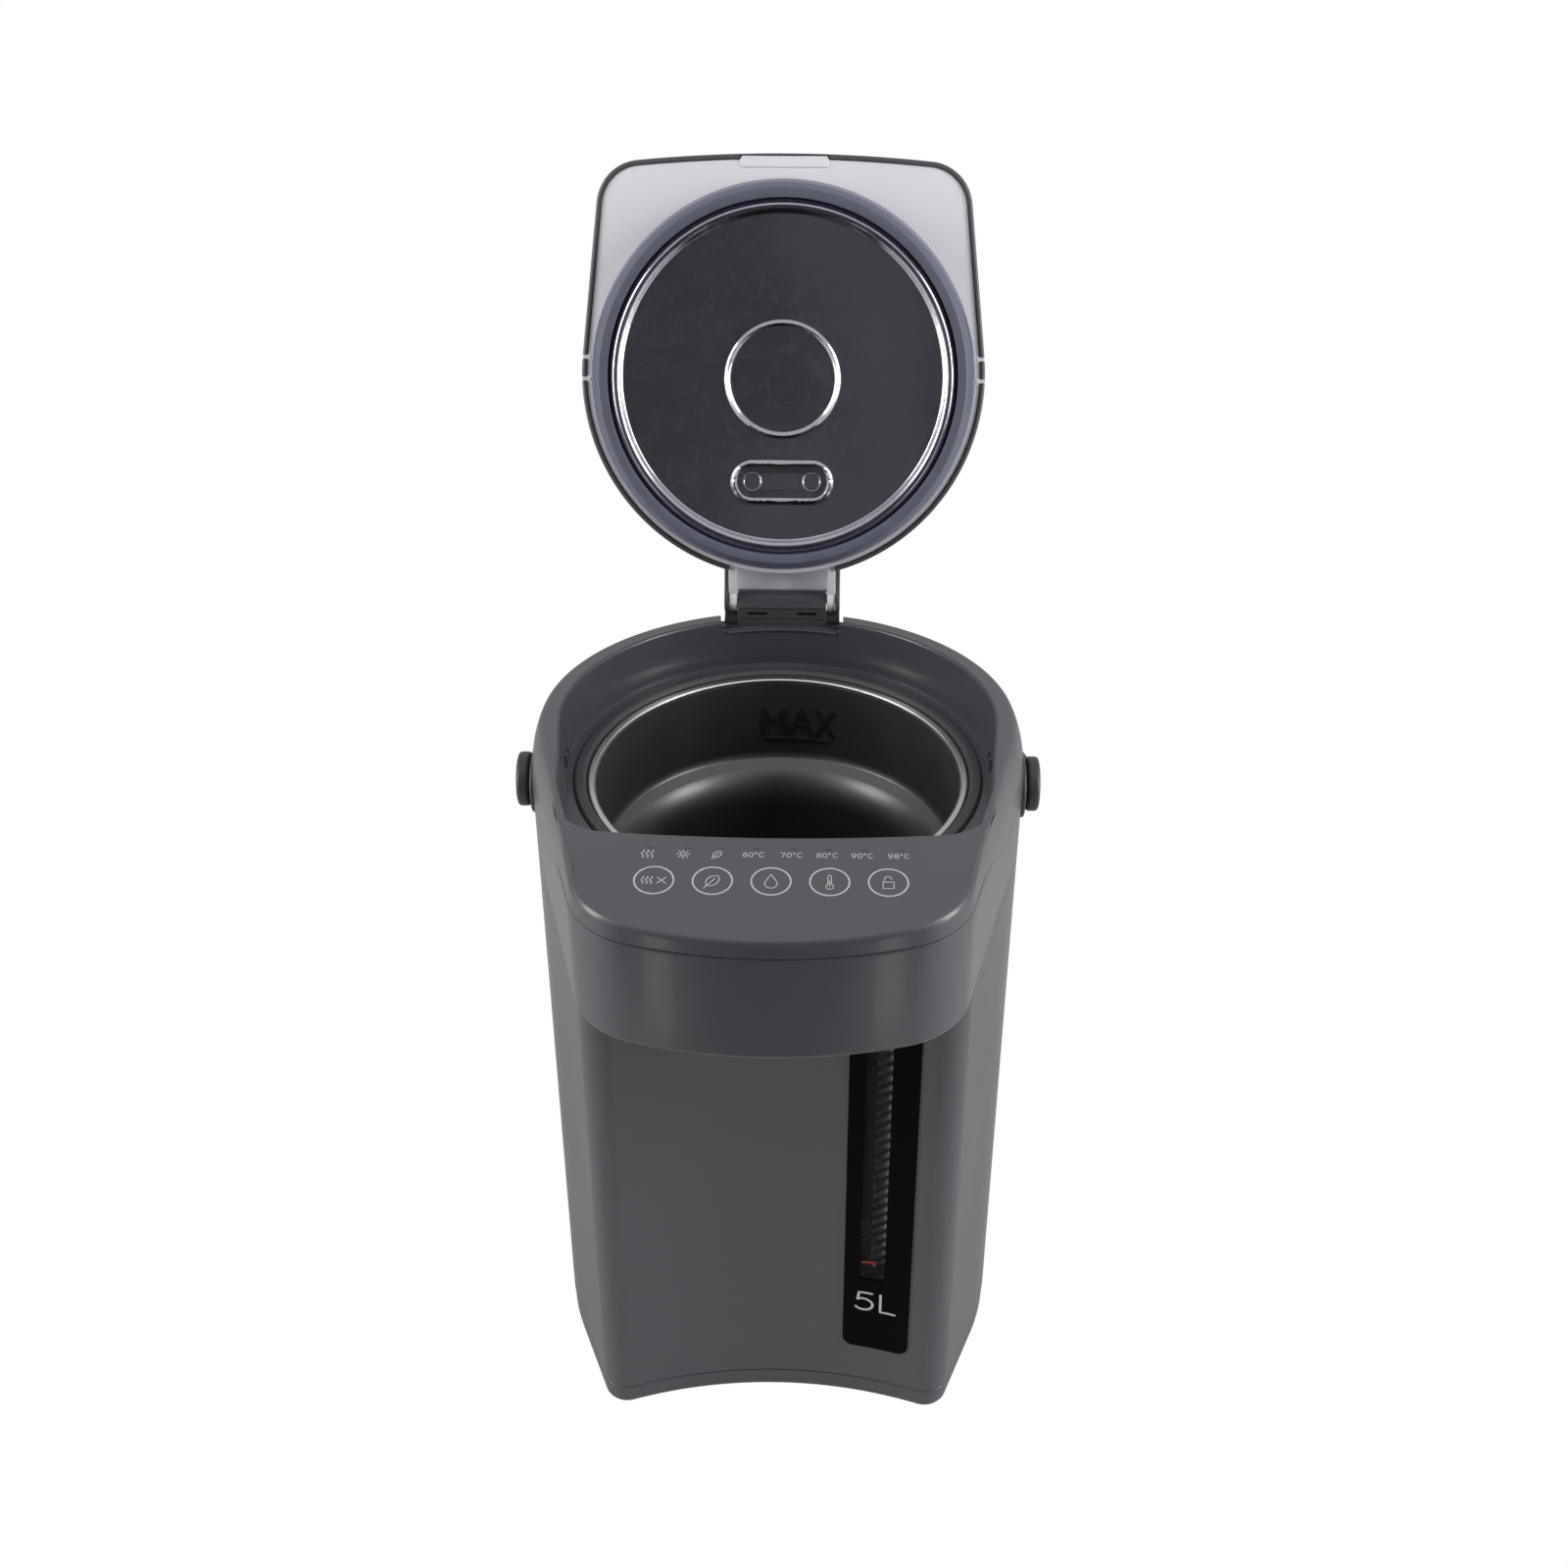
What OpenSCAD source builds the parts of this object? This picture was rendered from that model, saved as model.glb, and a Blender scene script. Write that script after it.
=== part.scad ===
// Electric thermo pot, five litre class, with the lid standing open and the bail handle folded back.
// Millimetres, +Z up. The pot's own axis is vertical and the dispensing beak points along -Y.
// Every part is drawn about the pot's axis and moved as a whole by stand(), which centres the pot
// on the table point under its outer box.

/* [Body] */
// Radius of the round part of the body
body_r = 110; // [106:1:114]
// Sideways place of the centre of each rounded front corner
corner_x = 75.3; // [73:0.1:77]
// Radius of the two rounded front corners
corner_r = 12; // [10:0.5:14]
// Radius of the hollow front, which lets a cup stand close
front_hollow_r = 217; // [200:1:240]
// Distance from the pot's axis to the middle of the hollow front
front_hollow_y = 75.4; // [74.5:0.1:77]
// Wall of the moulded body
shell_wall = 2.5; // [2:0.1:3]
// Height of the joint between base and body
base_seam_z = 13.3; // [12:0.1:15]

/* [Head] */
// Height of the underside of the dispensing beak
beak_z = 301; // [298:1:304]
// Distance from the pot's axis to the front of the beak
beak_y = 163; // [158:1:166]
// Radius of the beak's slightly bowed front
beak_front_r = 187; // [170:1:210]
// Sideways place of the centre of each beak corner
beak_corner_x = 44.5; // [42:0.5:47]
// Radius of the beak corners
beak_corner_r = 37; // [34:0.5:40]
// Height of the cap joint round the sides and the back
seam_low_z = 330; // [328:0.5:332]
// Height of the cap joint across the front of the beak
seam_high_z = 351.5; // [350:0.5:353]
// Height of the collar at the very back
collar_back_z = 354; // [353:0.5:355]
// Height of the ridge where the collar meets the control panel
ridge_z = 366; // [365:0.5:367]
// Height of the control panel's front edge
panel_front_z = 359.5; // [358:0.5:361]

/* [Lid] */
// Radius of the round part of the lid
lid_r = 94.5; // [93:0.5:95]
// Distance from the pot's axis to the lid's front edge
lid_front = 100.5; // [99:0.5:101]
// Sideways place of the centre of each lid corner
lid_corner_x = 65.5; // [64:0.5:67]
// Radius of the lid corners
lid_corner_r = 21; // [19:0.5:23]
// Gap between the lid and the opening it drops into
lid_gap = 1.8; // [1.5:0.1:2]
// Angle that the lid opens through
lid_open = 109.5; // [100:0.5:112]
// Hinge axis, back from the pot's axis
hinge_y = 106; // [105:0.5:107]
// Hinge axis, height above the table
hinge_z = 360; // [359:0.5:361]
// Full width of the lid's hinge neck
neck_w = 56; // [54:1:58]

/* [Pot] */
// Inside radius of the pot's mouth
mouth_r = 82.3; // [81.5:0.1:82.5]
// Inside radius of the pot below its shoulder
pot_r = 69; // [66:0.5:69.5]
// Height of the pot's rim
rim_z = 328; // [327:0.5:328]
// Height of the top of the shoulder inside the pot
shoulder_z = 284; // [280:1:288]
// Height of the pot's floor
pot_floor_z = 40; // [40:0.5:44]

/* [Handle] */
// Height of the bail's pivots
pivot_z = 321; // [320:0.5:322]
// Reach of the bail from its pivots to the middle of the grip
bail_reach = 134; // [133:1:137]
// Angle that the folded bail hangs below level
bail_fold = 25; // [24:1:27]

/* [Water gauge] */
// Sideways place of the middle of the gauge panel
gauge_x = 49.5; // [48:0.5:50]
// Width of the gauge panel
gauge_w = 32; // [30:1:33]
// Height of the gauge panel's lower edge
gauge_low_z = 38; // [36:1:42]
// Width of the window slot in the gauge panel
slot_w = 12; // [11:0.5:13]

/* [Hidden] */

$fn = 64;
stand_y = -9.96;                 // moves the outer box of the open pot onto the frame's axis
eps = 0.01;
slack = 0.2;                      // gap left between fitted parts of one body
colour_shell = [0.30, 0.30, 0.32];
colour_dark = [0.16, 0.16, 0.18];
colour_panel = [0.79, 0.79, 0.82];
colour_ring = [0.43, 0.46, 0.51];
colour_steel = [0.72, 0.72, 0.72];
colour_coating = [0.13, 0.13, 0.13];
colour_black = [0.02, 0.02, 0.03];
colour_board = [0.10, 0.35, 0.18];
colour_silicone = [0.80, 0.80, 0.78];

knuckle_r = 4.4;                  // barrel that carries the hinge pin
cap_lip = 5;                      // how far the cap's lip reaches down into the body
seat_z = 329;                     // floor of the lid recess
seat_r = 92;                      // outside radius of the seat ring
sheet = 0.8;                      // thickness of the drawn steel pot
lid_low_z = 348;                  // lower edge of the lid's outer shell
panel_z = 349;                    // underside of the lid's inner panel
pivot_y = 4;                      // bail pivots, back from the pot's axis
hose_r = 4.6;
pump_x = 36;                      // pump axis, under the pot
pump_y = -40;
pump_turn_r = 13.5;               // distance from the pump axis to its outlet's axis
tube_x = pump_x + pump_turn_r;    // level tube, in front of the pot
tube_y = -73.2;
tube_r = 3.2;
nozzle_y = -124;
board_x = -6;                     // middle of the power board
pump_out_z = 24;                  // height of the pump's outlet
panel_tilt = atan((ridge_z - panel_front_z) / (beak_y - lid_front - lid_gap));
collar_tilt = atan((ridge_z - collar_back_z) / (lid_front + lid_gap + 97));

// ---- outlines in plan, as lists of points ----
function arc_points(c, r, from, to, n) =
    [for (i = [0 : n - 1]) let (a = from + (to - from) * i / n) c + r * [cos(a), sin(a)]];
// the back arc keeps the same facets whatever its end angle, so stacked outlines meet cleanly
function back_points(r, from) =
    concat([r * [cos(from), sin(from)]],
        [for (a = [-16 : 4 : 196]) if (a > from + 1 && a < 179 - from) r * [cos(a), sin(a)]],
        [r * [-cos(from), sin(from)]]);
function side_angle(r, cx, cy, rc) = atan2(cy, cx) + acos((r - rc) / norm([cx, cy]));

// round back, straight tapering sides, two round corners and a bowed front
function bowed_plan(r, cx, rc, front, fr) =
    let (cy = fr - front - sqrt(pow(fr - rc, 2) - cx * cx),
        d = asin(cx / (fr - rc)),
        s = side_angle(r, cx, cy, rc))
    concat(arc_points([0, fr - front], fr, -90 - d, -90 + d, 10),
        arc_points([cx, cy], rc, -90 + d, s, 8),
        back_points(r, s),
        arc_points([-cx, cy], rc, 180 - s, 270 - d, 8));

// round back, tapering sides, small corners and a hollow front
function hollow_plan(inset) =
    let (r = body_r - inset,
        rc = corner_r - inset,
        hr = front_hollow_r + inset,
        hy = -front_hollow_y - front_hollow_r,
        cy = hy + sqrt(pow(hr + rc, 2) - corner_x * corner_x),
        d = asin(corner_x / (hr + rc)),
        s = side_angle(r, corner_x, cy, rc))
    concat(arc_points([0, hy], hr, 90 + d, 90 - d, 16),
        arc_points([corner_x, cy], rc, -90 - d, s, 8),
        back_points(r, s),
        arc_points([-corner_x, cy], rc, 180 - s, 270 + d, 8));

function beak_plan(inset) = bowed_plan(body_r - inset, beak_corner_x, beak_corner_r - inset,
    beak_y - inset, beak_front_r - inset);
// the cap leans in more over the round body than over the beak
function cap_plan(round_inset, beak_inset) = bowed_plan(body_r - round_inset, beak_corner_x,
    beak_corner_r - beak_inset, beak_y - beak_inset, beak_front_r - beak_inset);
function lid_plan(grow) = bowed_plan(lid_r + grow, lid_corner_x, lid_corner_r + grow,
    lid_front + grow, 700 + grow);
function opening_plan(grow) = lid_plan(lid_gap + grow);

// height of the cap joint along Y: low at the back and sides, rising in one smooth bend to the beak
function seam_height(y) =
    let (t = min(1, max(0, (-45 - y) / 75)))
    seam_low_z + (seam_high_z - seam_low_z) * (1 - cos(180 * t)) / 2;

module prism(points, low, high)
    translate([0, 0, low])
        linear_extrude(high - low)
            polygon(points);

// a profile drawn in Y and Z, drawn out sideways
module drawn_across(points, width)
    translate([-width / 2, 0, 0])
        rotate([90, 0, 90])
            linear_extrude(width)
                polygon(points);

// everything above the cap joint
module above_seam(raise)
    drawn_across(concat([for (y = [-125 : 7.5 : -42.5]) [y, seam_height(y) + raise]],
        [[130, seam_low_z + raise], [130, 420], [-180, 420], [-180, seam_high_z + raise]]), 300);

// everything below the collar and the control panel, lowered by drop
module below_roof(drop)
    drawn_across([[130, 200], [130, collar_back_z - 2 - drop], [97, collar_back_z - drop],
        [-85, ridge_z - 1.2 - drop], [-96, ridge_z - 0.7 - drop], [-107, ridge_z - 0.7 - drop],
        [-118, ridge_z - 1.7 - drop], [-beak_y - 1, panel_front_z - drop], [-beak_y - 1, 200]], 300);

// lengths of hose: a straight one up the Z axis, and a quarter bend that starts up the Z axis and
// turns towards +X
module hose_length(outer, inner, length)
    linear_extrude(length)
        difference() {
            circle(r = outer, $fn = 48);
            circle(r = inner, $fn = 48);
        }

module hose_bend(outer, inner, bend)
    translate([bend, 0, 0])
        rotate([90, 0, 180])
            rotate_extrude(angle = 90, $fn = 64)
                translate([bend, 0])
                    difference() {
                        circle(r = outer, $fn = 48);
                        circle(r = inner, $fn = 48);
                    }

module both_sides()
    for (s = [0, 1])
        mirror([s, 0, 0])
            children();

// a box with rounded vertical edges
module block(size, r)
    linear_extrude(size[2])
        union() {
            square([size[0] - 2 * r, size[1]], center = true);
            square([size[0], size[1] - 2 * r], center = true);
            for (x = [-1, 1], y = [-1, 1])
                translate([x * (size[0] / 2 - r), y * (size[1] / 2 - r)])
                    circle(r = r, $fn = 24);
        }

module screw(head_r, head_h, shank_r, length) {
    difference() {
        cylinder(r = head_r, h = head_h, $fn = 32);
        for (a = [0, 90])
            rotate([0, 0, a])
                translate([-head_r * 0.55, -head_r * 0.12, head_h * 0.45])
                    cube([head_r * 1.1, head_r * 0.24, head_h]);
    }
    translate([0, 0, -length])
        cylinder(r = shank_r, h = length, $fn = 32);
}

// ---- body ----
module gauge_window(grow, bottom_r) {
    w = gauge_w / 2 + grow;
    low = gauge_low_z - grow;
    translate([gauge_x, 0, 0])
        rotate([90, 0, 0])
            linear_extrude(120)
                union() {
                    translate([-w, low + bottom_r])
                        square([2 * w, beak_z - 1 - low - bottom_r + grow]);
                    translate([-w + bottom_r, low])
                        square([2 * (w - bottom_r), 2 * bottom_r]);
                    for (x = [-1, 1])
                        translate([x * (w - bottom_r), low + bottom_r])
                            circle(r = bottom_r, $fn = 32);
                }
}

module inlet_window(grow)
    translate([0, body_r - 12, 40])
        rotate([-90, 0, 0])
            block([40 + 2 * grow, 34 + 2 * grow, 30], 4);

// the front wall swells round the pot's wide neck, just under the beak
module neck_bulge(profile, width)
    intersection() {
        rotate_extrude($fn = 128)
            polygon(concat(profile, [[60, 302], [60, 254]]));
        translate([-width / 2, -100, 240])
            cube([width, 60, beak_z - 240 + eps]);
    }

module outer_shell()
    color(colour_shell)
        difference() {
            union() {
                difference() {
                    union() {
                        prism(hollow_plan(0), base_seam_z + 0.3, beak_z);
                        prism(beak_plan(0), beak_z, seam_high_z + 1);
                        neck_bulge([[74.5, 254], [79, 262], [83, 269], [85.6, 276], [86.5, 283],
                            [86.5, 302]], 66.4);
                    }
                    prism(hollow_plan(shell_wall), 0, beak_z + eps);
                    neck_bulge([[72, 254], [75.5, 260], [80, 268], [82.9, 275.5], [84, 283], [84, 302]],
                        76);
                    prism(beak_plan(shell_wall), beak_z, seam_high_z + 5);
                }
                // ledge that carries the spout cover
                difference() {
                    prism(beak_plan(shell_wall - eps), beak_z + 3, beak_z + 5);
                    prism(beak_plan(shell_wall + 2.5), beak_z, beak_z + 8);
                    translate([-200, -60, 0])
                        cube([400, 400, 400]);
                }
                // screw posts on the wall
                base_screw_places()
                    translate([0, 0, base_seam_z + 0.3])
                        cylinder(r = 5, h = 22, $fn = 32);
            }
            base_screw_places()
                cylinder(r = 1.6, h = base_seam_z + 19, $fn = 24);
            above_seam(-0.4);
            gauge_window(0, 5);
            inlet_window(0);
            both_sides()
                translate([90, pivot_y, pivot_z])
                    rotate([0, 90, 0])
                        cylinder(r = 3.1, h = 40, $fn = 32);
        }

module base_tray()
    color(colour_shell)
        difference() {
            union() {
                prism(hollow_plan(0.4), 3.5, base_seam_z);
                prism(hollow_plan(2), 2, 3.5 + eps);
                difference() {
                    prism(hollow_plan(shell_wall + slack), base_seam_z - eps, base_seam_z + 5);
                    prism(hollow_plan(shell_wall + slack + 1.8), base_seam_z - 1, base_seam_z + 6);
                    base_screw_places()
                        cylinder(r = 6, h = 60, $fn = 32);
                }
            }
            difference() {
                prism(hollow_plan(3.2), 4.6, base_seam_z + 8);
                power_post_places()
                    cylinder(r = 3.2, h = 4.3, $fn = 32);
            }
            power_post_places()
                cylinder(r = 1.55, h = 6, $fn = 24);
            foot_places()
                translate([0, 0, -1])
                    cylinder(r = 9.2, h = 4.2, $fn = 40);
            base_screw_places()
                translate([0, 0, -1])
                    cylinder(r = 1.9, h = 30, $fn = 24);
            base_screw_places()
                translate([0, 0, -1])
                    cylinder(r = 4, h = 4.4, $fn = 24);
            bracket_places()
                translate([63, 0, 1])
                    cylinder(r = 1.55, h = 6, $fn = 24);
            // air slots under the heater
            for (i = [-3 : 3])
                translate([i * 8 - 1.5, 20, 0])
                    cube([3, 46, 8]);
        }

module foot_places()
    for (p = [[-72, 56], [72, 56], [-68, -66], [68, -66]])
        translate([p[0], p[1], 0])
            children();

module power_post_places()
    for (x = [-35, 35], y = [35, 69])
        translate([board_x + x, y, 4.6])
            children();

module base_screw_places()
    for (p = [[79, 66], [-79, 66], [87, -61], [-87, -61]])
        translate([p[0], p[1], 0])
            children();

module rubber_feet()
    color(colour_dark)
        foot_places() {
            cylinder(r1 = 8.2, r2 = 9, h = 1.2, $fn = 40);
            translate([0, 0, 1.2])
                cylinder(r = 9, h = 2, $fn = 40);
        }

module base_screws()
    color(colour_steel)
        base_screw_places()
            translate([0, 0, 3.4])
                mirror([0, 0, 1])
                    screw(3.2, 1.2, 1.55, 20);

// ---- head ----
module cap_form()
    hull() {
        prism(cap_plan(0, 0), seam_low_z - 3, seam_low_z + 2);
        for (level = [[12, 0.5, 0.1], [19, 1.7, 0.5], [25, 3.4, 1.2], [29.5, 5.4, 2.4]])
            translate([0, 0, seam_low_z + level[0]])
                rotate([-collar_tilt, 0, 0])
                    prism(cap_plan(level[1], level[2]), 0, 0.05);
        prism(cap_plan(5.4, 2.4), ridge_z + 4, ridge_z + 4.05);
    }

module collar_notch()
    translate([-neck_w / 2 - 1.8, 92, 349])
        cube([neck_w + 3.6, 31, 30]);

// two low ribs on each side wall of the lid recess, and a thin ridge along its rear wall
module recess_ribs() {
    both_sides()
        for (y = [1, 8])
            translate([94.7, y, seat_z - 1])
                cube([2.4, 2, 8]);
    intersection() {
        translate([0, 0, 347.4])
            difference() {
                cylinder(r = lid_r + 3, h = 1.2, $fn = 128);
                translate([0, 0, -1])
                    cylinder(r = lid_r + 1, h = 4, $fn = 128);
            }
        translate([-27, 0, 340])
            cube([54, 120, 12]);
    }
}

module top_cap()
    color(colour_shell) {
        cap_moulding();
        recess_ribs();
    }

module cap_moulding()
    difference() {
        union() {
            difference() {
                intersection() {
                    cap_form();
                    above_seam(0);
                    below_roof(0);
                }
                cap_hollow();
            }
            // lip inside the body
            difference() {
                intersection() {
                    prism(beak_plan(shell_wall + slack), seam_low_z - cap_lip, seam_high_z + 4);
                    above_seam(-cap_lip);
                }
                prism(beak_plan(shell_wall + slack + 1.8), 300, seam_high_z + 5);
                above_seam(3.6);
                both_sides()
                    translate([90, pivot_y, pivot_z])
                        rotate([0, 90, 0])
                            cylinder(r = 9, h = 40, $fn = 32);
            }
            // floor of the lid recess
            intersection() {
                prism(opening_plan(2.5), seat_z - 2.5, seat_z);
                prism(beak_plan(shell_wall + 0.4), seat_z - 5, seat_z + 5);
            }
            // solid seat for the hinge block
            intersection() {
                prism(beak_plan(2.6), seat_z - 2.5, 349);
                translate([-36, 96, 300])
                    cube([72, 20, 60]);
            }
        }
        prism(opening_plan(0), seat_z, 400);
        translate([0, 0, 300])
            cylinder(r = seat_r + slack, h = 60, $fn = 128);
        collar_notch();
        for (x = [-14, 14])
            translate([x, 103.5, 335])
                cylinder(r = 1.5, h = 20, $fn = 24);
        board_post_places()
            translate([0, 0, -1])
                cylinder(r = 1.45, h = 3, $fn = 24);
    }

// room inside the cap, round the recess wall and under the control panel
module cap_hollow()
    difference() {
        intersection() {
            union() {
                prism(cap_plan(3, 3), 320, 343);
                prism(cap_plan(8.4, 4.4), 325, 400);
            }
            below_roof(2.5);
        }
        prism(opening_plan(2.5), 300, 420);
        // posts for the control board
        board_post_places()
            cylinder(r = 3.2, h = 8, $fn = 32);
    }

module board_post_places()
    on_panel(-126)
        for (x = [-56, 56], y = [-12, 12])
            translate([x, y, -6.9])
                children();

module spout_cover()
    color(colour_shell)
        difference() {
            union() {
                difference() {
                    prism(beak_plan(shell_wall + slack), beak_z + 0.6, beak_z + 2.8);
                    prism(hollow_plan(-slack), 0, 400);
                    cylinder(r = 86.7, h = 400, $fn = 128);
                    translate([-200, -52, 0])
                        cube([400, 400, 400]);
                }
                translate([0, nozzle_y, beak_z - 3])
                    cylinder(r = 14, h = 5, $fn = 64);
            }
            translate([0, nozzle_y, beak_z - 10])
                cylinder(r = 9.6, h = 30, $fn = 64);
        }

module spout_nozzle()
    color(colour_dark)
        translate([0, nozzle_y, 0])
            rotate_extrude($fn = 64)
                polygon([[5, 289], [7.2, 289], [8.4, 291], [9.4, 300], [9.4, 303.9], [12.5, 303.9],
                    [12.5, 306], [5.8, 306], [5.8, 304.6], [3.2, 304.6], [3.2, 309],
                    [2.2, 309], [2.2, 301]]);

module outlet_hose() {
    reach = norm([tube_x, nozzle_y - tube_y]);
    bend = 9;
    color(colour_silicone)
        translate([tube_x, tube_y, 0])
            rotate([0, 0, atan2(nozzle_y - tube_y, -tube_x)])
                union() {
                    translate([0, 0, 296])
                        hose_length(hose_r, 3.25, 12);
                    translate([0, 0, 308])
                        hose_bend(hose_r, 3.25, bend);
                    translate([bend, 0, 308 + bend])
                        rotate([0, 90, 0])
                            hose_length(hose_r, 3.25, reach - 2 * bend);
                    translate([reach, 0, 308])
                        rotate([0, 0, 180])
                            hose_bend(hose_r, 3.25, bend);
                    translate([reach, 0, 305])
                        hose_length(hose_r, 3.25, 3);
                }
}

// ---- water gauge ----
module wall_slice(outer_inset, inner_inset)
    difference() {
        translate([0, -front_hollow_y - front_hollow_r, 0])
            cylinder(r = front_hollow_r + inner_inset, h = 320, $fn = 256);
        translate([0, -front_hollow_y - front_hollow_r, -1])
            cylinder(r = front_hollow_r + outer_inset, h = 330, $fn = 256);
    }

module slot_window(grow)
    translate([47 - slot_w / 2 - grow, -120, 87 - grow])
        cube([slot_w + 2 * grow, 100, 206 + 2 * grow]);

module gauge_panel()
    color(colour_black)
        difference() {
            intersection() {
                wall_slice(-0.8, 2.2);
                gauge_window(-slack, 4.8);
            }
            slot_window(0);
            cylinder(r = 84, h = 400, $fn = 128);
        }

module gauge_lens()
    color([0.75, 0.80, 0.85, 0.4])
        intersection() {
            wall_slice(-0.4, 0.8);
            slot_window(-0.1);
        }

module gauge_stripes()
    color(colour_panel)
        translate([47, 0, 84])
            union() {
                translate([0, tube_y + tube_r + slack, 0])
                    cube([10.5, 0.8, 208]);
                translate([9.5, -80.4, 0])
                    cube([1, 11, 208]);
            }

module level_tube()
    color([0.80, 0.88, 0.92, 0.4])
        translate([tube_x, tube_y, 48])
            difference() {
                cylinder(r = tube_r, h = 259.8, $fn = 48);
                translate([0, 0, -1])
                    cylinder(r = tube_r - 0.8, h = 264, $fn = 48);
            }

module riser_hose() {
    bend = 8;
    color(colour_silicone)
        translate([tube_x, tube_y, 0])
            union() {
                translate([0, bend, pump_out_z])
                    rotate([-90, 0, 0])
                        hose_length(hose_r, 3.25, 8.6);
                translate([0, 0, pump_out_z + bend])
                    rotate([180, 0, 90])
                        hose_bend(hose_r, 3.25, bend);
                translate([0, 0, pump_out_z + bend])
                    hose_length(hose_r, 3.25, 32);
            }
}

// ---- pot ----
module inner_pot()
    color(colour_coating)
        difference() {
            rotate_extrude($fn = 160)
                polygon(concat(
                    [[0, pot_floor_z], [pot_r - 9, pot_floor_z]],
                    arc_points([pot_r - 9, pot_floor_z + 9], 9, -90, 0, 8),
                    [[pot_r, pot_floor_z + 9]],
                    arc_points([pot_r + 22, shoulder_z - 20], 22, 180, 127.2, 10),
                    [[mouth_r, shoulder_z + 1], [mouth_r, rim_z - 2]],
                    arc_points([mouth_r + 2, rim_z - 2], 2, 180, 90, 5),
                    [[mouth_r + 2, rim_z], [mouth_r + 3, rim_z], [mouth_r + 3.7, rim_z - 0.7],
                        [mouth_r + 3.7, rim_z - 1.9], [mouth_r + sheet, rim_z - 1.9],
                        [mouth_r + sheet, shoulder_z]],
                    arc_points([pot_r + 22, shoulder_z - 20], 22 - sheet, 126, 180, 10),
                    [[pot_r + sheet, shoulder_z - 20], [pot_r + sheet, pot_floor_z + 9]],
                    arc_points([pot_r - 9, pot_floor_z + 9], 9 + sheet, 0, -90, 8),
                    [[pot_r - 9, pot_floor_z - sheet], [0, pot_floor_z - sheet]]));
            translate([pump_x, pump_y, pot_floor_z - 5])
                cylinder(r = 4.2, h = 10, $fn = 48);
        }

module seat_ring()
    color(colour_ring)
        rotate_extrude($fn = 160)
            polygon([[84, 323], [94.6, 323], [94.6, 326.3], [seat_r, 326.3], [seat_r, 329.2], [91, 330],
                [88, 330], [86.3, 328.6], [86.3, 325.9], [84, 325.9]]);

module pot_outlet()
    color(colour_steel)
        translate([pump_x, pump_y, 0])
            rotate_extrude($fn = 48)
                polygon([[3.2, 34.3], [4.1, 34.3], [4.1, pot_floor_z + 0.4], [5.6, pot_floor_z + 0.4],
                    [5.6, pot_floor_z + 1.2], [3.2, pot_floor_z + 1.2]]);

module insulation()
    color([0.85, 0.85, 0.80])
        difference() {
            translate([0, 0, 58])
                cylinder(r = pot_r + 14, h = 196, $fn = 128);
            translate([0, 0, 57])
                cylinder(r = pot_r + 3.6, h = 200, $fn = 128);
            translate([-100, -200, 50])
                cube([200, 147, 220]);
        }

module heater_plate()
    color([0.62, 0.62, 0.60])
        difference() {
            union() {
                translate([0, 6, 34.5])
                    cylinder(r = 42, h = pot_floor_z - sheet - 34.55, $fn = 96);
                translate([0, 6, 34.5])
                    rotate_extrude($fn = 96)
                        translate([33, 0])
                            circle(r = 3.4, $fn = 32);
            }
            translate([pump_x, pump_y, 20])
                cylinder(r = 9, h = 30, $fn = 48);
        }

module heater_band()
    color([0.70, 0.66, 0.52])
        difference() {
            translate([0, 0, 62])
                cylinder(r = pot_r + 3.4, h = 40, $fn = 128);
            translate([0, 0, 61])
                cylinder(r = pot_r + sheet + slack, h = 42, $fn = 128);
            translate([-30, -120, 60])
                cube([60, 60, 50]);
        }

module thermostats()
    color(colour_steel)
        for (x = [-14, 14])
            translate([x, 10, 0]) {
                translate([0, 0, 30.2])
                    cylinder(r = 8, h = 4.1, $fn = 48);
                translate([0, 0, 24])
                    cylinder(r = 6.5, h = 6.4, $fn = 48);
                for (t = [-1, 1])
                    translate([t * 4.6 - 0.4, -3, 17.5])
                        cube([0.8, 6, 7]);
            }

module thermal_fuse()
    color(colour_panel)
        translate([0, -12, 31.8])
            rotate([0, 90, 0])
                union() {
                    translate([0, 0, -9])
                        cylinder(r = 2.6, h = 18, $fn = 32);
                    translate([0, 0, -15])
                        cylinder(r = 0.6, h = 30, $fn = 24);
                }

// three straps that hold the pot up off the base tray
module bracket_places()
    for (a = [5, 175, 270])
        rotate([0, 0, a])
            children();

module pot_brackets()
    color(colour_steel)
        bracket_places()
            difference() {
                translate([0, 6, 0])
                    rotate([90, 0, 0])
                        linear_extrude(12)
                            polygon([[52, 4.8], [66, 4.8], [66, 6], [60, 6], [60, 34], [56, 39.1],
                                [48, 39.1], [48, 38], [55.5, 38], [58.8, 33.7], [58.8, 6],
                                [52, 6]]);
                translate([63, 0, 0])
                    cylinder(r = 1.7, h = 10, $fn = 24);
            }

module bracket_screws()
    color(colour_steel)
        bracket_places()
            translate([63, 0, 6.1])
                screw(2.8, 1.6, 1.5, 3.6);

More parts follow.
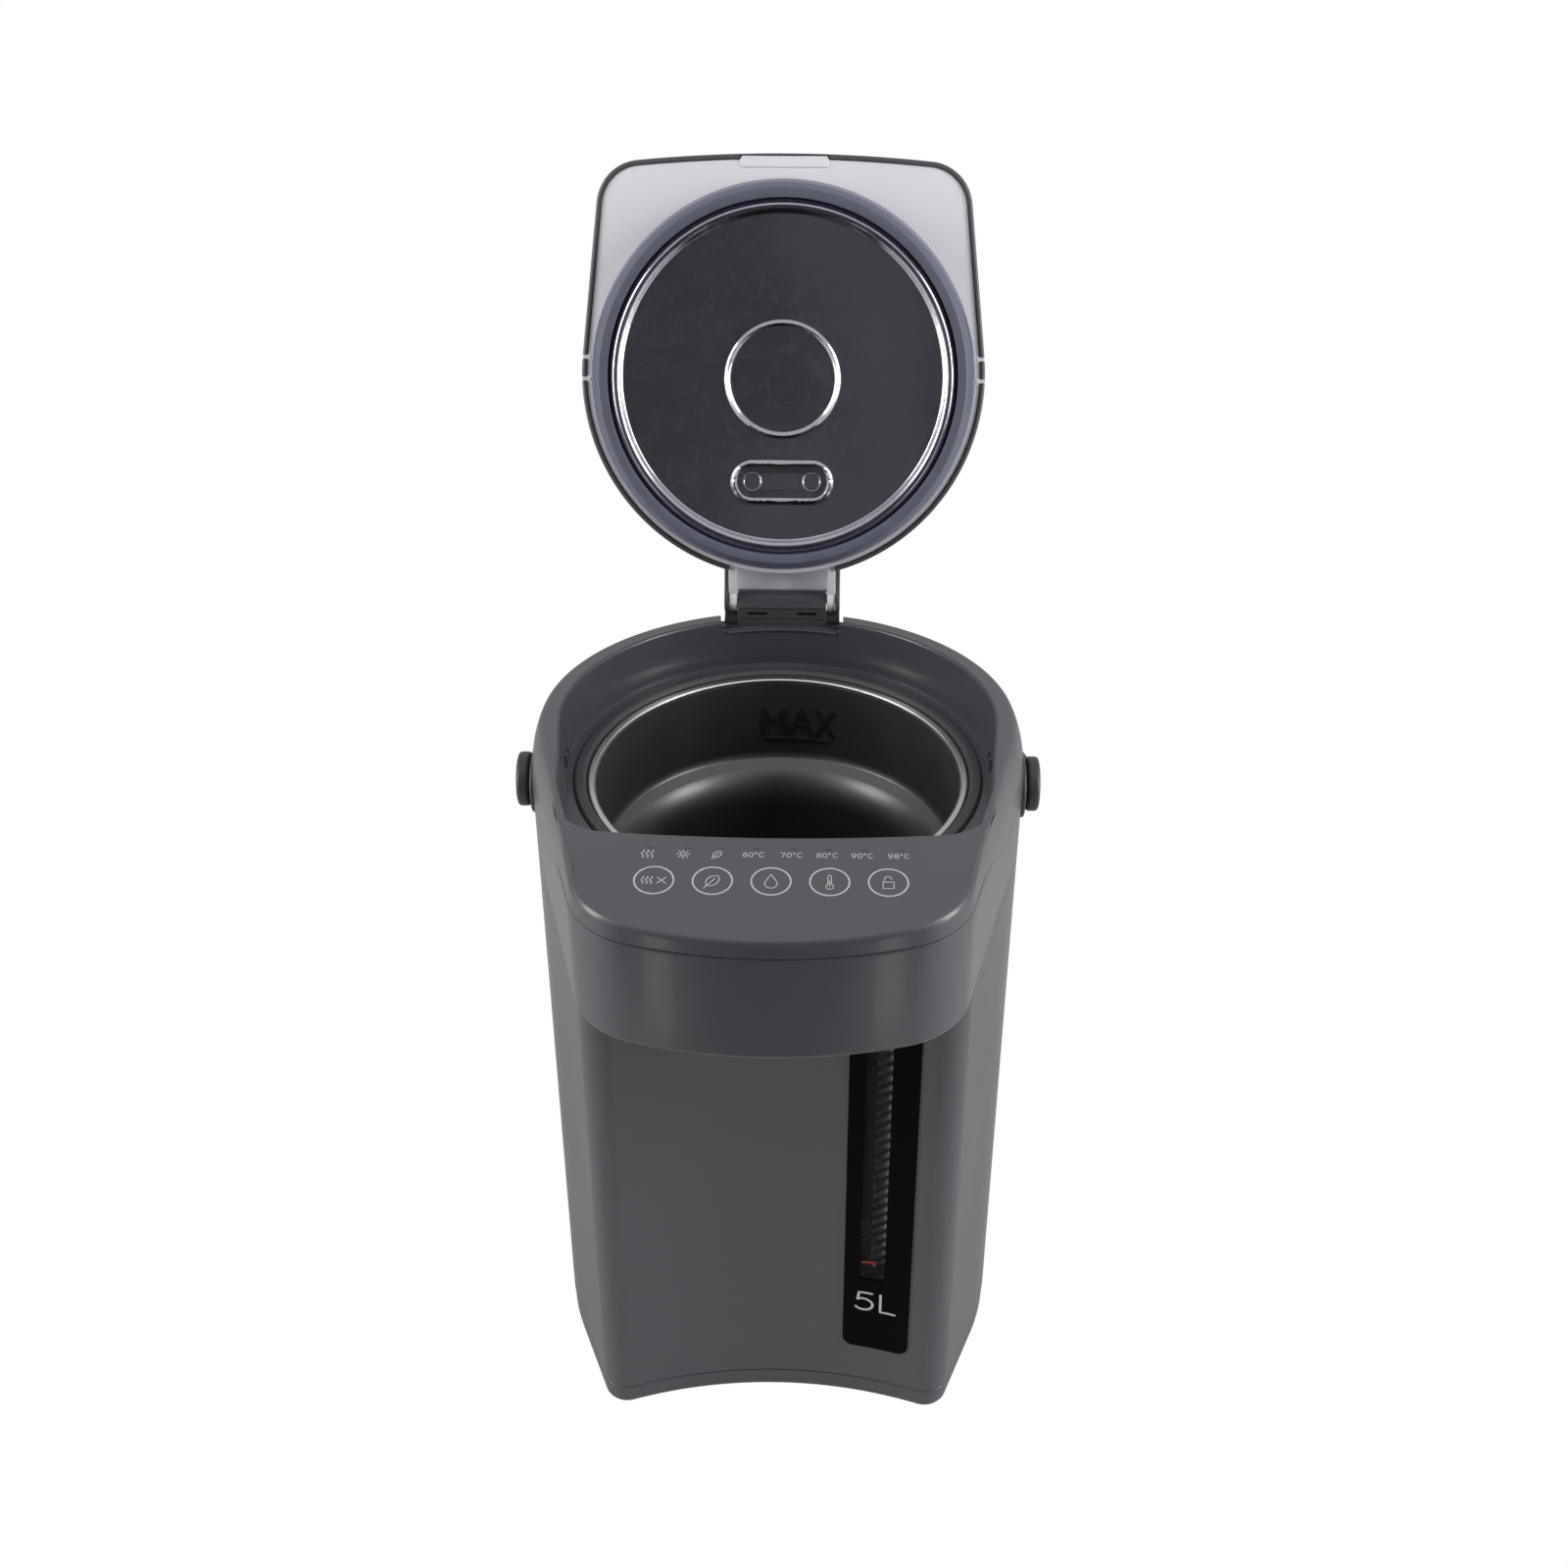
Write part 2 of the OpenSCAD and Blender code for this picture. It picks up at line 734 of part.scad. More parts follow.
// ---- pump ----
module pump_volute()
    color(colour_dark)
        translate([pump_x, pump_y, 0])
            difference() {
                union() {
                    translate([0, 0, 18.6])
                        cylinder(r = 18, h = 10.6, $fn = 64);
                    translate([0, 0, 29])
                        cylinder(r = 4.6, h = 5, $fn = 48);
                    translate([pump_turn_r, -4, pump_out_z])
                        rotate([90, 0, 0])
                            cylinder(r = 3.2, h = 18, $fn = 48);
                }
                translate([0, 0, 20.2])
                    cylinder(r = 15.5, h = 7.6, $fn = 64);
                translate([0, 0, 10])
                    cylinder(r = 1.55, h = 12, $fn = 48);
                translate([0, 0, 26])
                    cylinder(r = 3.1, h = 10, $fn = 48);
                translate([pump_turn_r, 0, pump_out_z])
                    rotate([90, 0, 0])
                        cylinder(r = 2.2, h = 30, $fn = 48);
            }

module pump_motor()
    color(colour_steel)
        translate([pump_x, pump_y, 0])
            difference() {
                union() {
                    translate([0, 0, 4.65])
                        cylinder(r = 16, h = 13.8, $fn = 64);
                    for (a = [0, 120, 240])
                        rotate([0, 0, a + 30])
                            translate([15, -4, 4.65])
                                cube([9, 8, 1.6]);
                }
                translate([0, 0, 6.4])
                    cylinder(r = 14.2, h = 10.6, $fn = 64);
                translate([0, 0, 16])
                    cylinder(r = 1.55, h = 4, $fn = 48);
            }

module pump_shaft()
    color(colour_steel)
        translate([pump_x, pump_y, 7.4])
            cylinder(r = 1.5, h = 16.8, $fn = 48);

module impeller()
    color(colour_panel)
        translate([pump_x, pump_y, 0])
            difference() {
                union() {
                    translate([0, 0, 21])
                        cylinder(r = 13, h = 1.2, $fn = 64);
                    translate([0, 0, 21])
                        cylinder(r = 3, h = 4.6, $fn = 48);
                    for (a = [0 : 60 : 300])
                        rotate([0, 0, a])
                            translate([2.2, 0, 22])
                                intersection() {
                                    difference() {
                                        translate([4.5, -8, 0])
                                            cylinder(r = 9.8, h = 3.6, $fn = 64);
                                        translate([4.5, -8, -1])
                                            cylinder(r = 8.8, h = 6, $fn = 64);
                                    }
                                    translate([0, -2, 0])
                                        cube([9.8, 6, 3.6]);
                                }
                }
                translate([0, 0, 20])
                    cylinder(r = 1.5, h = 4.2, $fn = 48);
            }

module rotor_magnet()
    color(colour_dark)
        translate([pump_x, pump_y, 8.6])
            difference() {
                cylinder(r = 12.6, h = 6.4, $fn = 64);
                translate([0, 0, -1])
                    cylinder(r = 1.5, h = 10, $fn = 48);
            }

module suction_hose()
    color(colour_silicone)
        translate([pump_x, pump_y, 0])
            difference() {
                translate([0, 0, 29.4])
                    cylinder(r = 6.4, h = 9.4, $fn = 48);
                translate([0, 0, 29])
                    cylinder(r = 4.65, h = 5.2, $fn = 48);
                translate([0, 0, 29])
                    cylinder(r = 4.15, h = 12, $fn = 48);
            }

// ---- boards and wiring ----
module power_board()
    color(colour_board)
        difference() {
            translate([board_x, 52, 9])
                block([80, 44, 1.6], 2);
            power_post_places()
                translate([0, 0, 4])
                    cylinder(r = 1.7, h = 4, $fn = 24);
        }

module board_parts()
    color(colour_dark)
        translate([board_x, 52, 10.7]) {
            // transformer, two relays, a smoothing capacitor, a choke and the cable's socket
            translate([18, -2, 0])
                block([22, 26, 15.5], 1);
            for (y = [-10, 9])
                translate([-6, y, 0])
                    block([18, 13, 14], 1);
            translate([-25, 8, 0])
                cylinder(r = 6, h = 16, $fn = 40);
            translate([-24, -8, 0])
                cylinder(r = 4.5, h = 9, $fn = 32);
        }

// the control board lies just under the panel, at the panel's own slope
module on_panel(y)
    translate([0, y, panel_front_z + (beak_y + y) * tan(panel_tilt) - 2.5])
        rotate([panel_tilt, 0, 0])
            children();

module control_board()
    color(colour_board)
        on_panel(-126)
            translate([0, 0, -8.6])
                difference() {
                    block([124, 36, 1.6], 3);
                    for (x = [-56, 56], y = [-12, 12])
                        translate([x, y, -1])
                            cylinder(r = 1.7, h = 4, $fn = 24);
                }

module touch_springs()
    color(colour_steel)
        on_panel(-128.5)
            for (i = [-2 : 2])
                translate([i * 22.8, 0, -7])
                    difference() {
                        cylinder(r = 6, h = 6.6, $fn = 40);
                        translate([0, 0, -1])
                            cylinder(r = 5, h = 6.6, $fn = 40);
                    }

module indicator_leds()
    color(colour_panel)
        on_panel(-112)
            for (i = [0 : 7])
                translate([-48 + i * 14.1, 0, -6.9])
                    block([3, 1.6, 1.2], 0.3);

module board_screws()
    color(colour_steel) {
        board_post_places()
            translate([0, 0, -1.75])
                mirror([0, 0, 1])
                    screw(2.6, 1.6, 1.4, 3);
        power_post_places()
            translate([0, 0, 6.05])
                screw(2.8, 1.6, 1.5, 4);
    }

// flat cable from the power board up the inside of the back and forward to the control board
module ribbon_cable()
    color(colour_silicone)
        translate([-44, 0, 0])
            drawn_across([[-112.5, 352.6], [-112.5, 311], [-110.8, 309], [-77.5, 307], [-75.2, 304],
                [-75.2, 6.5], [-73.4, 4.7], [20, 4.7], [26, 10.7], [31.6, 10.7],
                [31.6, 11.5], [25.6, 11.5], [19.7, 5.5], [-73.1, 5.5], [-74.4, 6.8],
                [-74.4, 304.6], [-77, 307.8], [-110.4, 309.8], [-111.7, 311.4], [-111.7, 352.6]], 9);

module power_inlet()
    color(colour_dark)
        translate([0, 0, 40])
            difference() {
                union() {
                    translate([0, body_r - 1.6, 0])
                        rotate([90, 0, 0])
                            block([39.4, 33.4, 2.4], 3.8);
                    translate([0, body_r - 3.9, 0])
                        rotate([90, 0, 0])
                            block([32, 26, 19], 3);
                }
                translate([0, body_r + 2, 0])
                    rotate([90, 0, 0])
                        block([27, 19.5, 20], 2.5);
            }

module inlet_pins()
    color(colour_steel)
        for (p = [[-7, -2], [0, 2], [7, -2]])
            translate([p[0] - 1, body_r - 24, 40 + p[1] - 2])
                cube([2, 18, 4]);

// ---- hinge and handle pivots ----
module hinge_block()
    color(colour_dark)
        difference() {
            union() {
                translate([-21.5, 97.2, 349])
                    cube([43, 13.2, hinge_z - 349]);
                translate([-21.5, hinge_y, hinge_z])
                    rotate([0, 90, 0])
                        cylinder(r = knuckle_r, h = 43, $fn = 64);
            }
            translate([-30, hinge_y, hinge_z])
                rotate([0, 90, 0])
                    cylinder(r = 2.5, h = 60, $fn = 48);
            // two drain slots and the ridges between them
            for (x = [-12, 12])
                translate([x - 5, 95, 356.5])
                    cube([10, 5, 2.2]);
            for (x = [-14, 14])
                translate([x, 103.5, 340])
                    cylinder(r = 1.5, h = 12, $fn = 24);
        }

module hinge_screws()
    color(colour_steel)
        for (x = [-14, 14])
            translate([x, 103.5, 338])
                cylinder(r = 1.4, h = 13, $fn = 24);

module hinge_pin()
    color(colour_steel)
        translate([-neck_w / 2 + 0.4, hinge_y, hinge_z])
            rotate([0, 90, 0])
                cylinder(r = 2.5, h = neck_w - 0.8, $fn = 48);

module pivot_plates()
    color(colour_dark)
        difference() {
            both_sides()
                translate([body_r - 3, pivot_y, pivot_z - 1])
                    rotate([0, 90, 0])
                        difference() {
                            cylinder(r = 16, h = 4.8, $fn = 64);
                            translate([-1, 0, -1])
                                cylinder(r = 3.1, h = 8, $fn = 32);
                        }
            prism(beak_plan(-0.05), 290, 350);
        }

module pivot_pins()
    color(colour_steel)
        both_sides()
            translate([0, pivot_y, pivot_z])
                rotate([0, 90, 0]) {
                    translate([0, 0, 104.5])
                        cylinder(r = 3, h = 12.5, $fn = 48);
                    translate([0, 0, 104.5])
                        cylinder(r = 5.5, h = 2.4, $fn = 48);
                }

// ---- bail handle, drawn level and then folded down ----
module folded()
    translate([0, pivot_y, pivot_z])
        rotate([-bail_fold, 0, 0])
            children();

module bail() {
    arm_x = body_r + 5.3;
    arm_t = 5.8;
    bend_r = 50;
    color(colour_dark)
        folded()
            difference() {
                union() {
                    both_sides() {
                        translate([arm_x - arm_t / 2, 0, 0])
                            rotate([0, 90, 0])
                                cylinder(r = 14.5, h = arm_t, $fn = 64);
                        translate([arm_x - arm_t / 2, 0, -7])
                            cube([arm_t, bail_reach - bend_r, 14]);
                        translate([arm_x - bend_r, bail_reach - bend_r, -7])
                            intersection() {
                                difference() {
                                    cylinder(r = bend_r + arm_t / 2, h = 14, $fn = 96);
                                    translate([0, 0, -1])
                                        cylinder(r = bend_r - arm_t / 2, h = 16, $fn = 96);
                                }
                                cube([90, 90, 20]);
                            }
                    }
                    translate([-arm_x + bend_r, bail_reach - arm_t / 2, -7])
                        cube([2 * (arm_x - bend_r), arm_t, 14]);
                }
                both_sides()
                    translate([100, 0, 0])
                        rotate([0, 90, 0])
                            cylinder(r = 3.05, h = 17.05, $fn = 48);
            }
}

module bail_grip()
    color(colour_dark)
        folded()
            translate([-44, bail_reach, 0])
                rotate([0, 90, 0])
                    difference() {
                        linear_extrude(88)
                            union() {
                                square([12, 14.6], center = true);
                                for (x = [-6, 6])
                                    translate([x, 0])
                                        circle(r = 7.3, $fn = 48);
                            }
                        translate([-7.05, -2.95, -1])
                            cube([14.1, 5.9, 90]);
                    }

// ---- lid, drawn shut and then swung open about the hinge ----
module opened()
    translate([0, hinge_y, hinge_z])
        rotate([-lid_open, 0, 0])
            translate([0, -hinge_y, -hinge_z])
                children();

// everything under the lid's gently domed top
module dome(lower)
    translate([0, -40, -lower])
        rotate_extrude($fn = 128)
            polygon(concat([[0, 330], [160, 330]],
                [for (r = [160 : -20 : 0]) [r, 370 - r * r / 2400]]));

module lid_shell()
    color(colour_shell)
        opened()
            difference() {
                union() {
                    intersection() {
                        prism(lid_plan(0), lid_low_z, 372);
                        dome(0);
                    }
                    // neck reaching back over the collar to the hinge
                    intersection() {
                        translate([-neck_w / 2, 80, 356])
                            cube([neck_w, hinge_y - 80, 11]);
                        dome(-4.6);
                    }
                    both_sides()
                        translate([neck_w / 2 - 2.1, hinge_y, hinge_z])
                            rotate([0, 90, 0])
                                cylinder(r = 6.8, h = 2.1, $fn = 64);
                }
                intersection() {
                    prism(lid_plan(-3), lid_low_z - 1, 372);
                    dome(2.6);
                }
                // room between the two ears for the panel's cheeks and the hinge block
                translate([-25.9, 87, 347])
                    cube([51.8, 41, 17]);
                translate([-25.9, hinge_y, hinge_z])
                    rotate([0, 90, 0])
                        cylinder(r = 9, h = 51.8, $fn = 64);
                translate([-60, hinge_y, hinge_z])
                    rotate([0, 90, 0])
                        cylinder(r = 2.56, h = 120, $fn = 48);
                // finger tab at the front and lug notches at the sides
                translate([-22.8, -lid_front + 0.9, lid_low_z - 1])
                    cube([45.6, 6, 4.4]);
                lug_places()
                    translate([-3, -1.3, lid_low_z - 1])
                        cube([6, 2.6, 4]);
                // steam vent
                for (i = [-3 : 3])
                    translate([i * 7 - 1.6, 56, 355])
                        cube([3.2, 14, 20]);
            }

module lid_screw_places()
    for (a = [45, 135, 225, 315])
        rotate([0, 0, a])
            translate([86, 0, 0])
                children();

module lug_places()
    both_sides()
        for (y = [-9, 1])
            translate([lid_r - 1.8, y, 0])
                children();

module lid_panel()
    color(colour_panel)
        opened()
            difference() {
                union() {
                    prism(lid_plan(-3.2), panel_z, panel_z + 2);
                    translate([-22.5, -lid_front + 1.1, panel_z - 0.6])
                        cube([45, 5, 2.6]);
                    lug_places()
                        translate([-1.8, -1, panel_z])
                            cube([2.6, 2, 2]);
                    // tongue that turns up and lines the underside of the neck
                    drawn_across([[87.6, 350.1], [90.2, 350.1], [90.2, 361.9], [98.6, 361.9],
                        [98.6, 363.8], [88.2, 363.8], [88.2, 351], [87.6, 351]], 51.4);
                    // cheeks that line the two ears and run on the hinge pin
                    both_sides()
                        translate([23.8, 0, 0])
                            drawn_across([[88.2, 350.1], [96.5, 350.1], [106, 354.4], [106, 363.8],
                                [88.2, 363.8]], 3.8);
                    both_sides()
                        translate([21.9, hinge_y, hinge_z])
                            rotate([0, 90, 0])
                                cylinder(r = 6.2, h = 3.8, $fn = 64);
                }
                translate([-60, hinge_y, hinge_z])
                    rotate([0, 90, 0])
                        cylinder(r = 2.56, h = 120, $fn = 48);
                both_sides()
                    translate([21, 99, 363.8])
                        cube([6, 20, 6]);
                translate([0, 0, panel_z - 2])
                    cylinder(r = 80, h = 8, $fn = 128);
                lid_screw_places()
                    translate([0, 0, panel_z - 2])
                        cylinder(r = 1.7, h = 8, $fn = 24);
            }

module lid_ring()
    color(colour_ring)
        opened()
            difference() {
                rotate_extrude($fn = 160)
                    polygon([[80.6, 331], [83.2, 331], [83.2, 330.4], [85.6, 330.4], [88, 333],
                        [89.8, 338], [90.6, 344], [90.6, 348.8], [82, 348.8], [82, 334.4],
                        [80.6, 334.4]]);
                lid_screw_places()
                    translate([0, 0, panel_z - 7])
                        cylinder(r = 1.45, h = 8, $fn = 24);
            }

module lid_gasket()
    color(colour_dark)
        opened()
            rotate_extrude($fn = 160)
                polygon([[80.7, 328.6], [82.4, 328.5], [84.4, 328.5], [85.3, 329.2], [85.3, 330.2],
                    [83, 330.2], [83, 330.8], [80.7, 330.8]]);

// an outline with two half-round ends, centred between the studs
module stud_oval(grow)
    union() {
        for (x = [-13.8, 13.8])
            translate([x, 47])
                circle(r = 8.6 + grow, $fn = 64);
        translate([-13.8, 47 - 8.6 - grow])
            square([27.6, 17.2 + 2 * grow]);
    }

module lid_plate()
    color(colour_steel)
        opened()
            difference() {
                union() {
                    translate([0, 0, 331])
                        linear_extrude(1.4)
                            difference() {
                                stud_oval(1.4);
                                stud_oval(-1.2);
                            }
                    rotate_extrude($fn = 160)
                        polygon([[0, 332.2], [24, 332.2], [25.4, 330.6], [26.6, 330.6], [28, 332.2],
                            [72.4, 332.2], [74.6, 329.4], [76.6, 328.9], [78.4, 329.4],
                            [80.4, 331.2], [80.4, 334.6], [81.8, 334.6], [81.8, 335.4],
                            [79.6, 335.4], [79.6, 331.6], [78.2, 330.4], [76.6, 329.8],
                            [75.2, 330.3], [73, 333.1], [27.6, 333.1], [26.3, 331.5],
                            [25.7, 331.5], [24.4, 333.1], [0, 333.1]]);
                }
                for (x = [-13.8, 13.8])
                    translate([x, 47, 320])
                        cylinder(r = 4.2, h = 20, $fn = 48);
            }

module steam_studs()
    color(colour_steel)
        opened()
            for (x = [-13.8, 13.8])
                translate([x, 47, 331.2])
                    difference() {
                        union() {
                            cylinder(r = 4.9, h = 0.9, $fn = 48);
                            cylinder(r = 4.1, h = 5, $fn = 48);
                        }
                        translate([0, 0, 1])
                            cylinder(r = 3, h = 5, $fn = 48);
                        for (a = [0, 120, 240])
                            rotate([0, 0, a])
                                translate([1.9, 0, -1])
                                    cylinder(r = 0.7, h = 4, $fn = 24);
                    }

// two-chamber passage that leads the steam up to the vent and keeps water back
module steam_duct()
    color(colour_dark)
        opened()
            translate([0, 54, 336.4])
                difference() {
                    block([56, 34, 25.4], 5);
                    translate([0, 0, -1])
                        block([52, 30, 11.5], 3);
                    translate([0, 0, 12])
                        block([52, 30, 15], 3);
                    for (x = [-18, 0, 18])
                        translate([x, 8, 5])
                            cylinder(r = 3, h = 12, $fn = 32);
                }

module lid_insulation()
    color([0.90, 0.90, 0.86])
        opened()
            difference() {
                translate([0, 0, 335])
                    cylinder(r = 78, h = 13, $fn = 128);
                translate([0, 54, 330])
                    block([60, 38, 24], 5);
                for (a = [30 : 60 : 330])
                    rotate([0, 0, a])
                        translate([70, 0, 330])
                            cylinder(r = 4, h = 24, $fn = 32);
            }

module lid_screws()
    color(colour_steel)
        opened()
            lid_screw_places()
                translate([0, 0, panel_z + 2.05])
                    screw(2.6, 1.4, 1.4, 8);

module stand()
    translate([0, stand_y, 0])
        children();

stand() outer_shell();
stand() base_tray();
stand() rubber_feet();
stand() base_screws();
stand() top_cap();
stand() spout_cover();
stand() spout_nozzle();
stand() outlet_hose();
stand() level_tube();
stand() riser_hose();
stand() gauge_panel();
stand() gauge_lens();
stand() gauge_stripes();
stand() seat_ring();
stand() inner_pot();
stand() pot_outlet();
stand() insulation();
stand() heater_plate();
stand() heater_band();
stand() thermostats();
stand() thermal_fuse();
stand() pot_brackets();
stand() bracket_screws();
stand() pump_volute();
stand() pump_motor();
stand() suction_hose();
stand() power_board();
stand() board_parts();
stand() control_board();
stand() touch_springs();
stand() indicator_leds();
stand() board_screws();
stand() ribbon_cable();
stand() power_inlet();
stand() inlet_pins();
stand() hinge_block();
stand() hinge_screws();
stand() hinge_pin();
stand() pivot_plates();
stand() pivot_pins();
stand() lid_shell();
stand() lid_panel();
stand() lid_ring();
stand() lid_gasket();
stand() lid_plate();
stand() steam_studs();
stand() steam_duct();
stand() lid_insulation();
stand() lid_screws();
stand() bail();
stand() bail_grip();
stand() pump_shaft();
stand() impeller();
stand() rotor_magnet();
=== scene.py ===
"""Dresses the electric thermo pot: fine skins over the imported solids, procedural finishes and the studio.

Lengths are millimetres about the pot's own axis until a mesh is made, and metres in the row frame after.
"""
import logging
from dataclasses import dataclass
from enum import Enum
from functools import cache
from math import acos, asin, atan, atan2, cos, degrees, hypot, radians, sin, sqrt, tan
from typing import Callable, Iterable, Sequence

import bmesh
import bpy
import numpy as np
from bpy.types import Material, NodeSocket as Socket, Object as Thing
from mathutils import Matrix, Vector
from numpy import ndarray as Rows


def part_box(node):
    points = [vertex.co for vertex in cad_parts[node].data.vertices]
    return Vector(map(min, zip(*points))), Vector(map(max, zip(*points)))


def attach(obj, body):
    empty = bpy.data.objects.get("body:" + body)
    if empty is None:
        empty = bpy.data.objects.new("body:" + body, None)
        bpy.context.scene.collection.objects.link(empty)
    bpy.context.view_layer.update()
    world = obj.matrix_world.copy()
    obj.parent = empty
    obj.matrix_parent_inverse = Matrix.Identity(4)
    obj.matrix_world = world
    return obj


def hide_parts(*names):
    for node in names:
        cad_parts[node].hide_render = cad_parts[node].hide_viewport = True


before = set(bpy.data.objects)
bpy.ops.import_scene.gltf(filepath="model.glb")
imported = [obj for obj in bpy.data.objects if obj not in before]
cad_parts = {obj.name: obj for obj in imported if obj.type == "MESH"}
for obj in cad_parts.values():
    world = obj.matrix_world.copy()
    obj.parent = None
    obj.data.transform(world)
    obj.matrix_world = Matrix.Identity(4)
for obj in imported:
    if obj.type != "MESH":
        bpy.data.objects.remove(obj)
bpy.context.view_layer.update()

LOG = logging.getLogger("thermo_pot")
MM = 0.001
Point = tuple[float, float, float]
Colour = tuple[float, float, float]
Path = list[tuple[float, float]]
AXIS_Y = (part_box("inner_pot")[0].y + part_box("inner_pot")[1].y) / 2 / MM


# ---- shader nodes


def add_node(tree: bpy.types.NodeTree, kind: str, sockets: dict, settings: dict) -> bpy.types.Node:
    """Adds a node of any type to a tree.

    Args:
        tree: the tree.
        kind: the node's type.
        sockets: by input name or index, a socket or signal to link, or a number, colour or vector to set.
        settings: properties that are set before the sockets.

    Returns:
        The node.
    """
    made = tree.nodes.new(kind)
    for key, value in settings.items():
        setattr(made, key, value)
    for key, value in sockets.items():
        socket, value = made.inputs[key], getattr(value, "socket", value)
        if isinstance(value, Socket):
            tree.links.new(value, socket)
        else:
            socket.default_value = (*value, 1.0) if socket.type == "RGBA" else value
    return made


def _operator(operation: str, reflected: bool = False) -> Callable[..., "Signal"]:
    """A method that adds one Math node, with the signal as its second value where reflected."""
    def method(signal: "Signal", other: object = 0.0) -> "Signal":
        """Adds the Math node."""
        values = (other, signal) if reflected else (signal, other)
        return signal.paint.node("Math", dict(enumerate(values)), operation=operation)
    return method


class Signal:
    """A shader socket that does arithmetic: an expression on signals adds its Math nodes."""

    def __init__(self, paint: "Paint", socket: Socket) -> None:
        """Wraps one output socket of the material being built."""
        self.paint, self.socket = paint, socket

    __add__, __radd__ = _operator("ADD"), _operator("ADD", True)
    __sub__, __rsub__ = _operator("SUBTRACT"), _operator("SUBTRACT", True)
    __mul__, __rmul__ = _operator("MULTIPLY"), _operator("MULTIPLY", True)
    __truediv__ = _operator("DIVIDE")
    size, fraction = _operator("ABSOLUTE"), _operator("FRACT")

    def ramp(self, low: float, high: float) -> "Signal":
        """Maps low..high to 0..1 and holds it there."""
        return self.paint.node("MapRange", {0: self, 1: low, 2: high, 3: 0.0, 4: 1.0}, clamp=True)


class Paint:
    """Builds the node tree of one material or of the world."""

    def __init__(self, owner: Material | bpy.types.World) -> None:
        """Starts the owner's tree empty.

        Args:
            owner: a material or a world.
        """
        owner.use_nodes = True
        self.owner, self.tree = owner, owner.node_tree
        self.tree.nodes.clear()

    def node(self, kind: str, sockets: dict, output: int | str = 0, **settings: object) -> Signal | None:
        """Adds a shader node of any type; hands back one of its outputs, or None for an end node."""
        made = add_node(self.tree, f"ShaderNode{kind}", sockets, settings)
        return Signal(self, made.outputs[output]) if made.outputs else None

    def place(self) -> Signal:
        """The surface point in the object's own coordinates."""
        return self.node("TexCoord", {}, "Object")

    def axes(self) -> tuple[Signal, Signal, Signal]:
        """The surface point's X, Y and Z in metres, Y taken from the pot's axis."""
        outputs = self.node("SeparateXYZ", {0: self.place()}).socket.node.outputs
        x, y, z = (Signal(self, output) for output in outputs)
        return x, y - AXIS_Y * MM, z

    def noise(self, grain: float, detail: float = 3.0, stretch: Point = (1.0, 1.0, 1.0)) -> Signal:
        """Noise from 0 to 1, its features as large as the grain in millimetres, its coordinates stretched."""
        where = self.node("Mapping", {"Vector": self.place(), "Scale": stretch})
        return self.node("TexNoise", {"Vector": where, "Scale": 1.0 / (grain * MM), "Detail": detail})

    def blend(self, factor: object, low: object, high: object) -> Signal:
        """Mixes two colours: low where the factor is 0, high where it is 1."""
        return self.node("Mix", {0: factor, 6: low, 7: high}, 2, data_type="RGBA")

    def relief(self, height: Signal, depth: float, strength: float = 1.0) -> Signal:
        """A Bump node's normal, for a height of 0 to 1 that stands for a depth in millimetres."""
        return self.node("Bump", {"Strength": strength, "Distance": depth * MM, "Height": height})

    def where_ray(self, kind: str, plain: Signal, other: Signal) -> Signal:
        """One shader for most rays and another for rays of a kind, such as Is Camera Ray."""
        return self.node("MixShader", {0: self.node("LightPath", {}, kind), 1: plain, 2: other})

    def done(self, surface: Signal, end: str = "OutputMaterial") -> Material | bpy.types.World:
        """Ends the tree in a surface, and hands its owner back."""
        self.node(end, {"Surface": surface})
        return self.owner


def mixed(colour: Colour, factor: float) -> Colour:
    """A colour made lighter or darker by a factor."""
    return tuple(min(1.0, part * factor) for part in colour)


# ---- finishes


@dataclass(frozen=True)
class Coating:
    """What every finish has: a name and a main colour."""

    name: str
    colour: Colour

    def make(self) -> Material:
        """Builds the material."""
        paint = Paint(bpy.data.materials.new(self.name))
        return paint.done(paint.node("BsdfPrincipled", self.surface(paint)))

    def surface(self, paint: Paint) -> dict:
        """The Principled surface's inputs by name; each finish has its own."""
        raise NotImplementedError

    def between(self, paint: Paint, factor: Signal, low: float, high: float) -> Signal:
        """The main colour at two brightnesses, mixed by a factor."""
        return paint.blend(factor, mixed(self.colour, low), mixed(self.colour, high))


@dataclass(frozen=True)
class MouldedPlastic(Coating):
    """Moulded plastic with a spark-eroded grain, faint flow mottling and handled patches."""

    roughness: float = 0.45
    grain: float = 0.35
    grain_depth: float = 0.012
    mottle: float = 0.05
    coat: float = 0.0

    def surface(self, paint: Paint) -> dict:
        """Grain in the normal, mottling in the colour, rubbed patches in the roughness.

        Args:
            paint: the tree to build in.

        Returns:
            The inputs.
        """
        grain = paint.noise(self.grain, 2.0)
        cloud = paint.noise(38.0, 4.0)
        rub = paint.noise(90.0, 2.0, (1.0, 1.0, 0.35)).ramp(0.52, 0.74)
        colour = self.between(paint, cloud, 1 - self.mottle, 1 + self.mottle)
        colour = paint.blend(grain.ramp(0.3, 0.8) * 0.35, colour, mixed(self.colour, 1.14))
        rough = self.roughness + (cloud - 0.5) * 0.06 - rub * 0.05 + (grain - 0.5) * 0.05
        return {"Base Color": colour, "Roughness": rough, "Coat Weight": self.coat, "Coat Roughness": 0.12,
                "Normal": paint.relief(grain, self.grain_depth)}


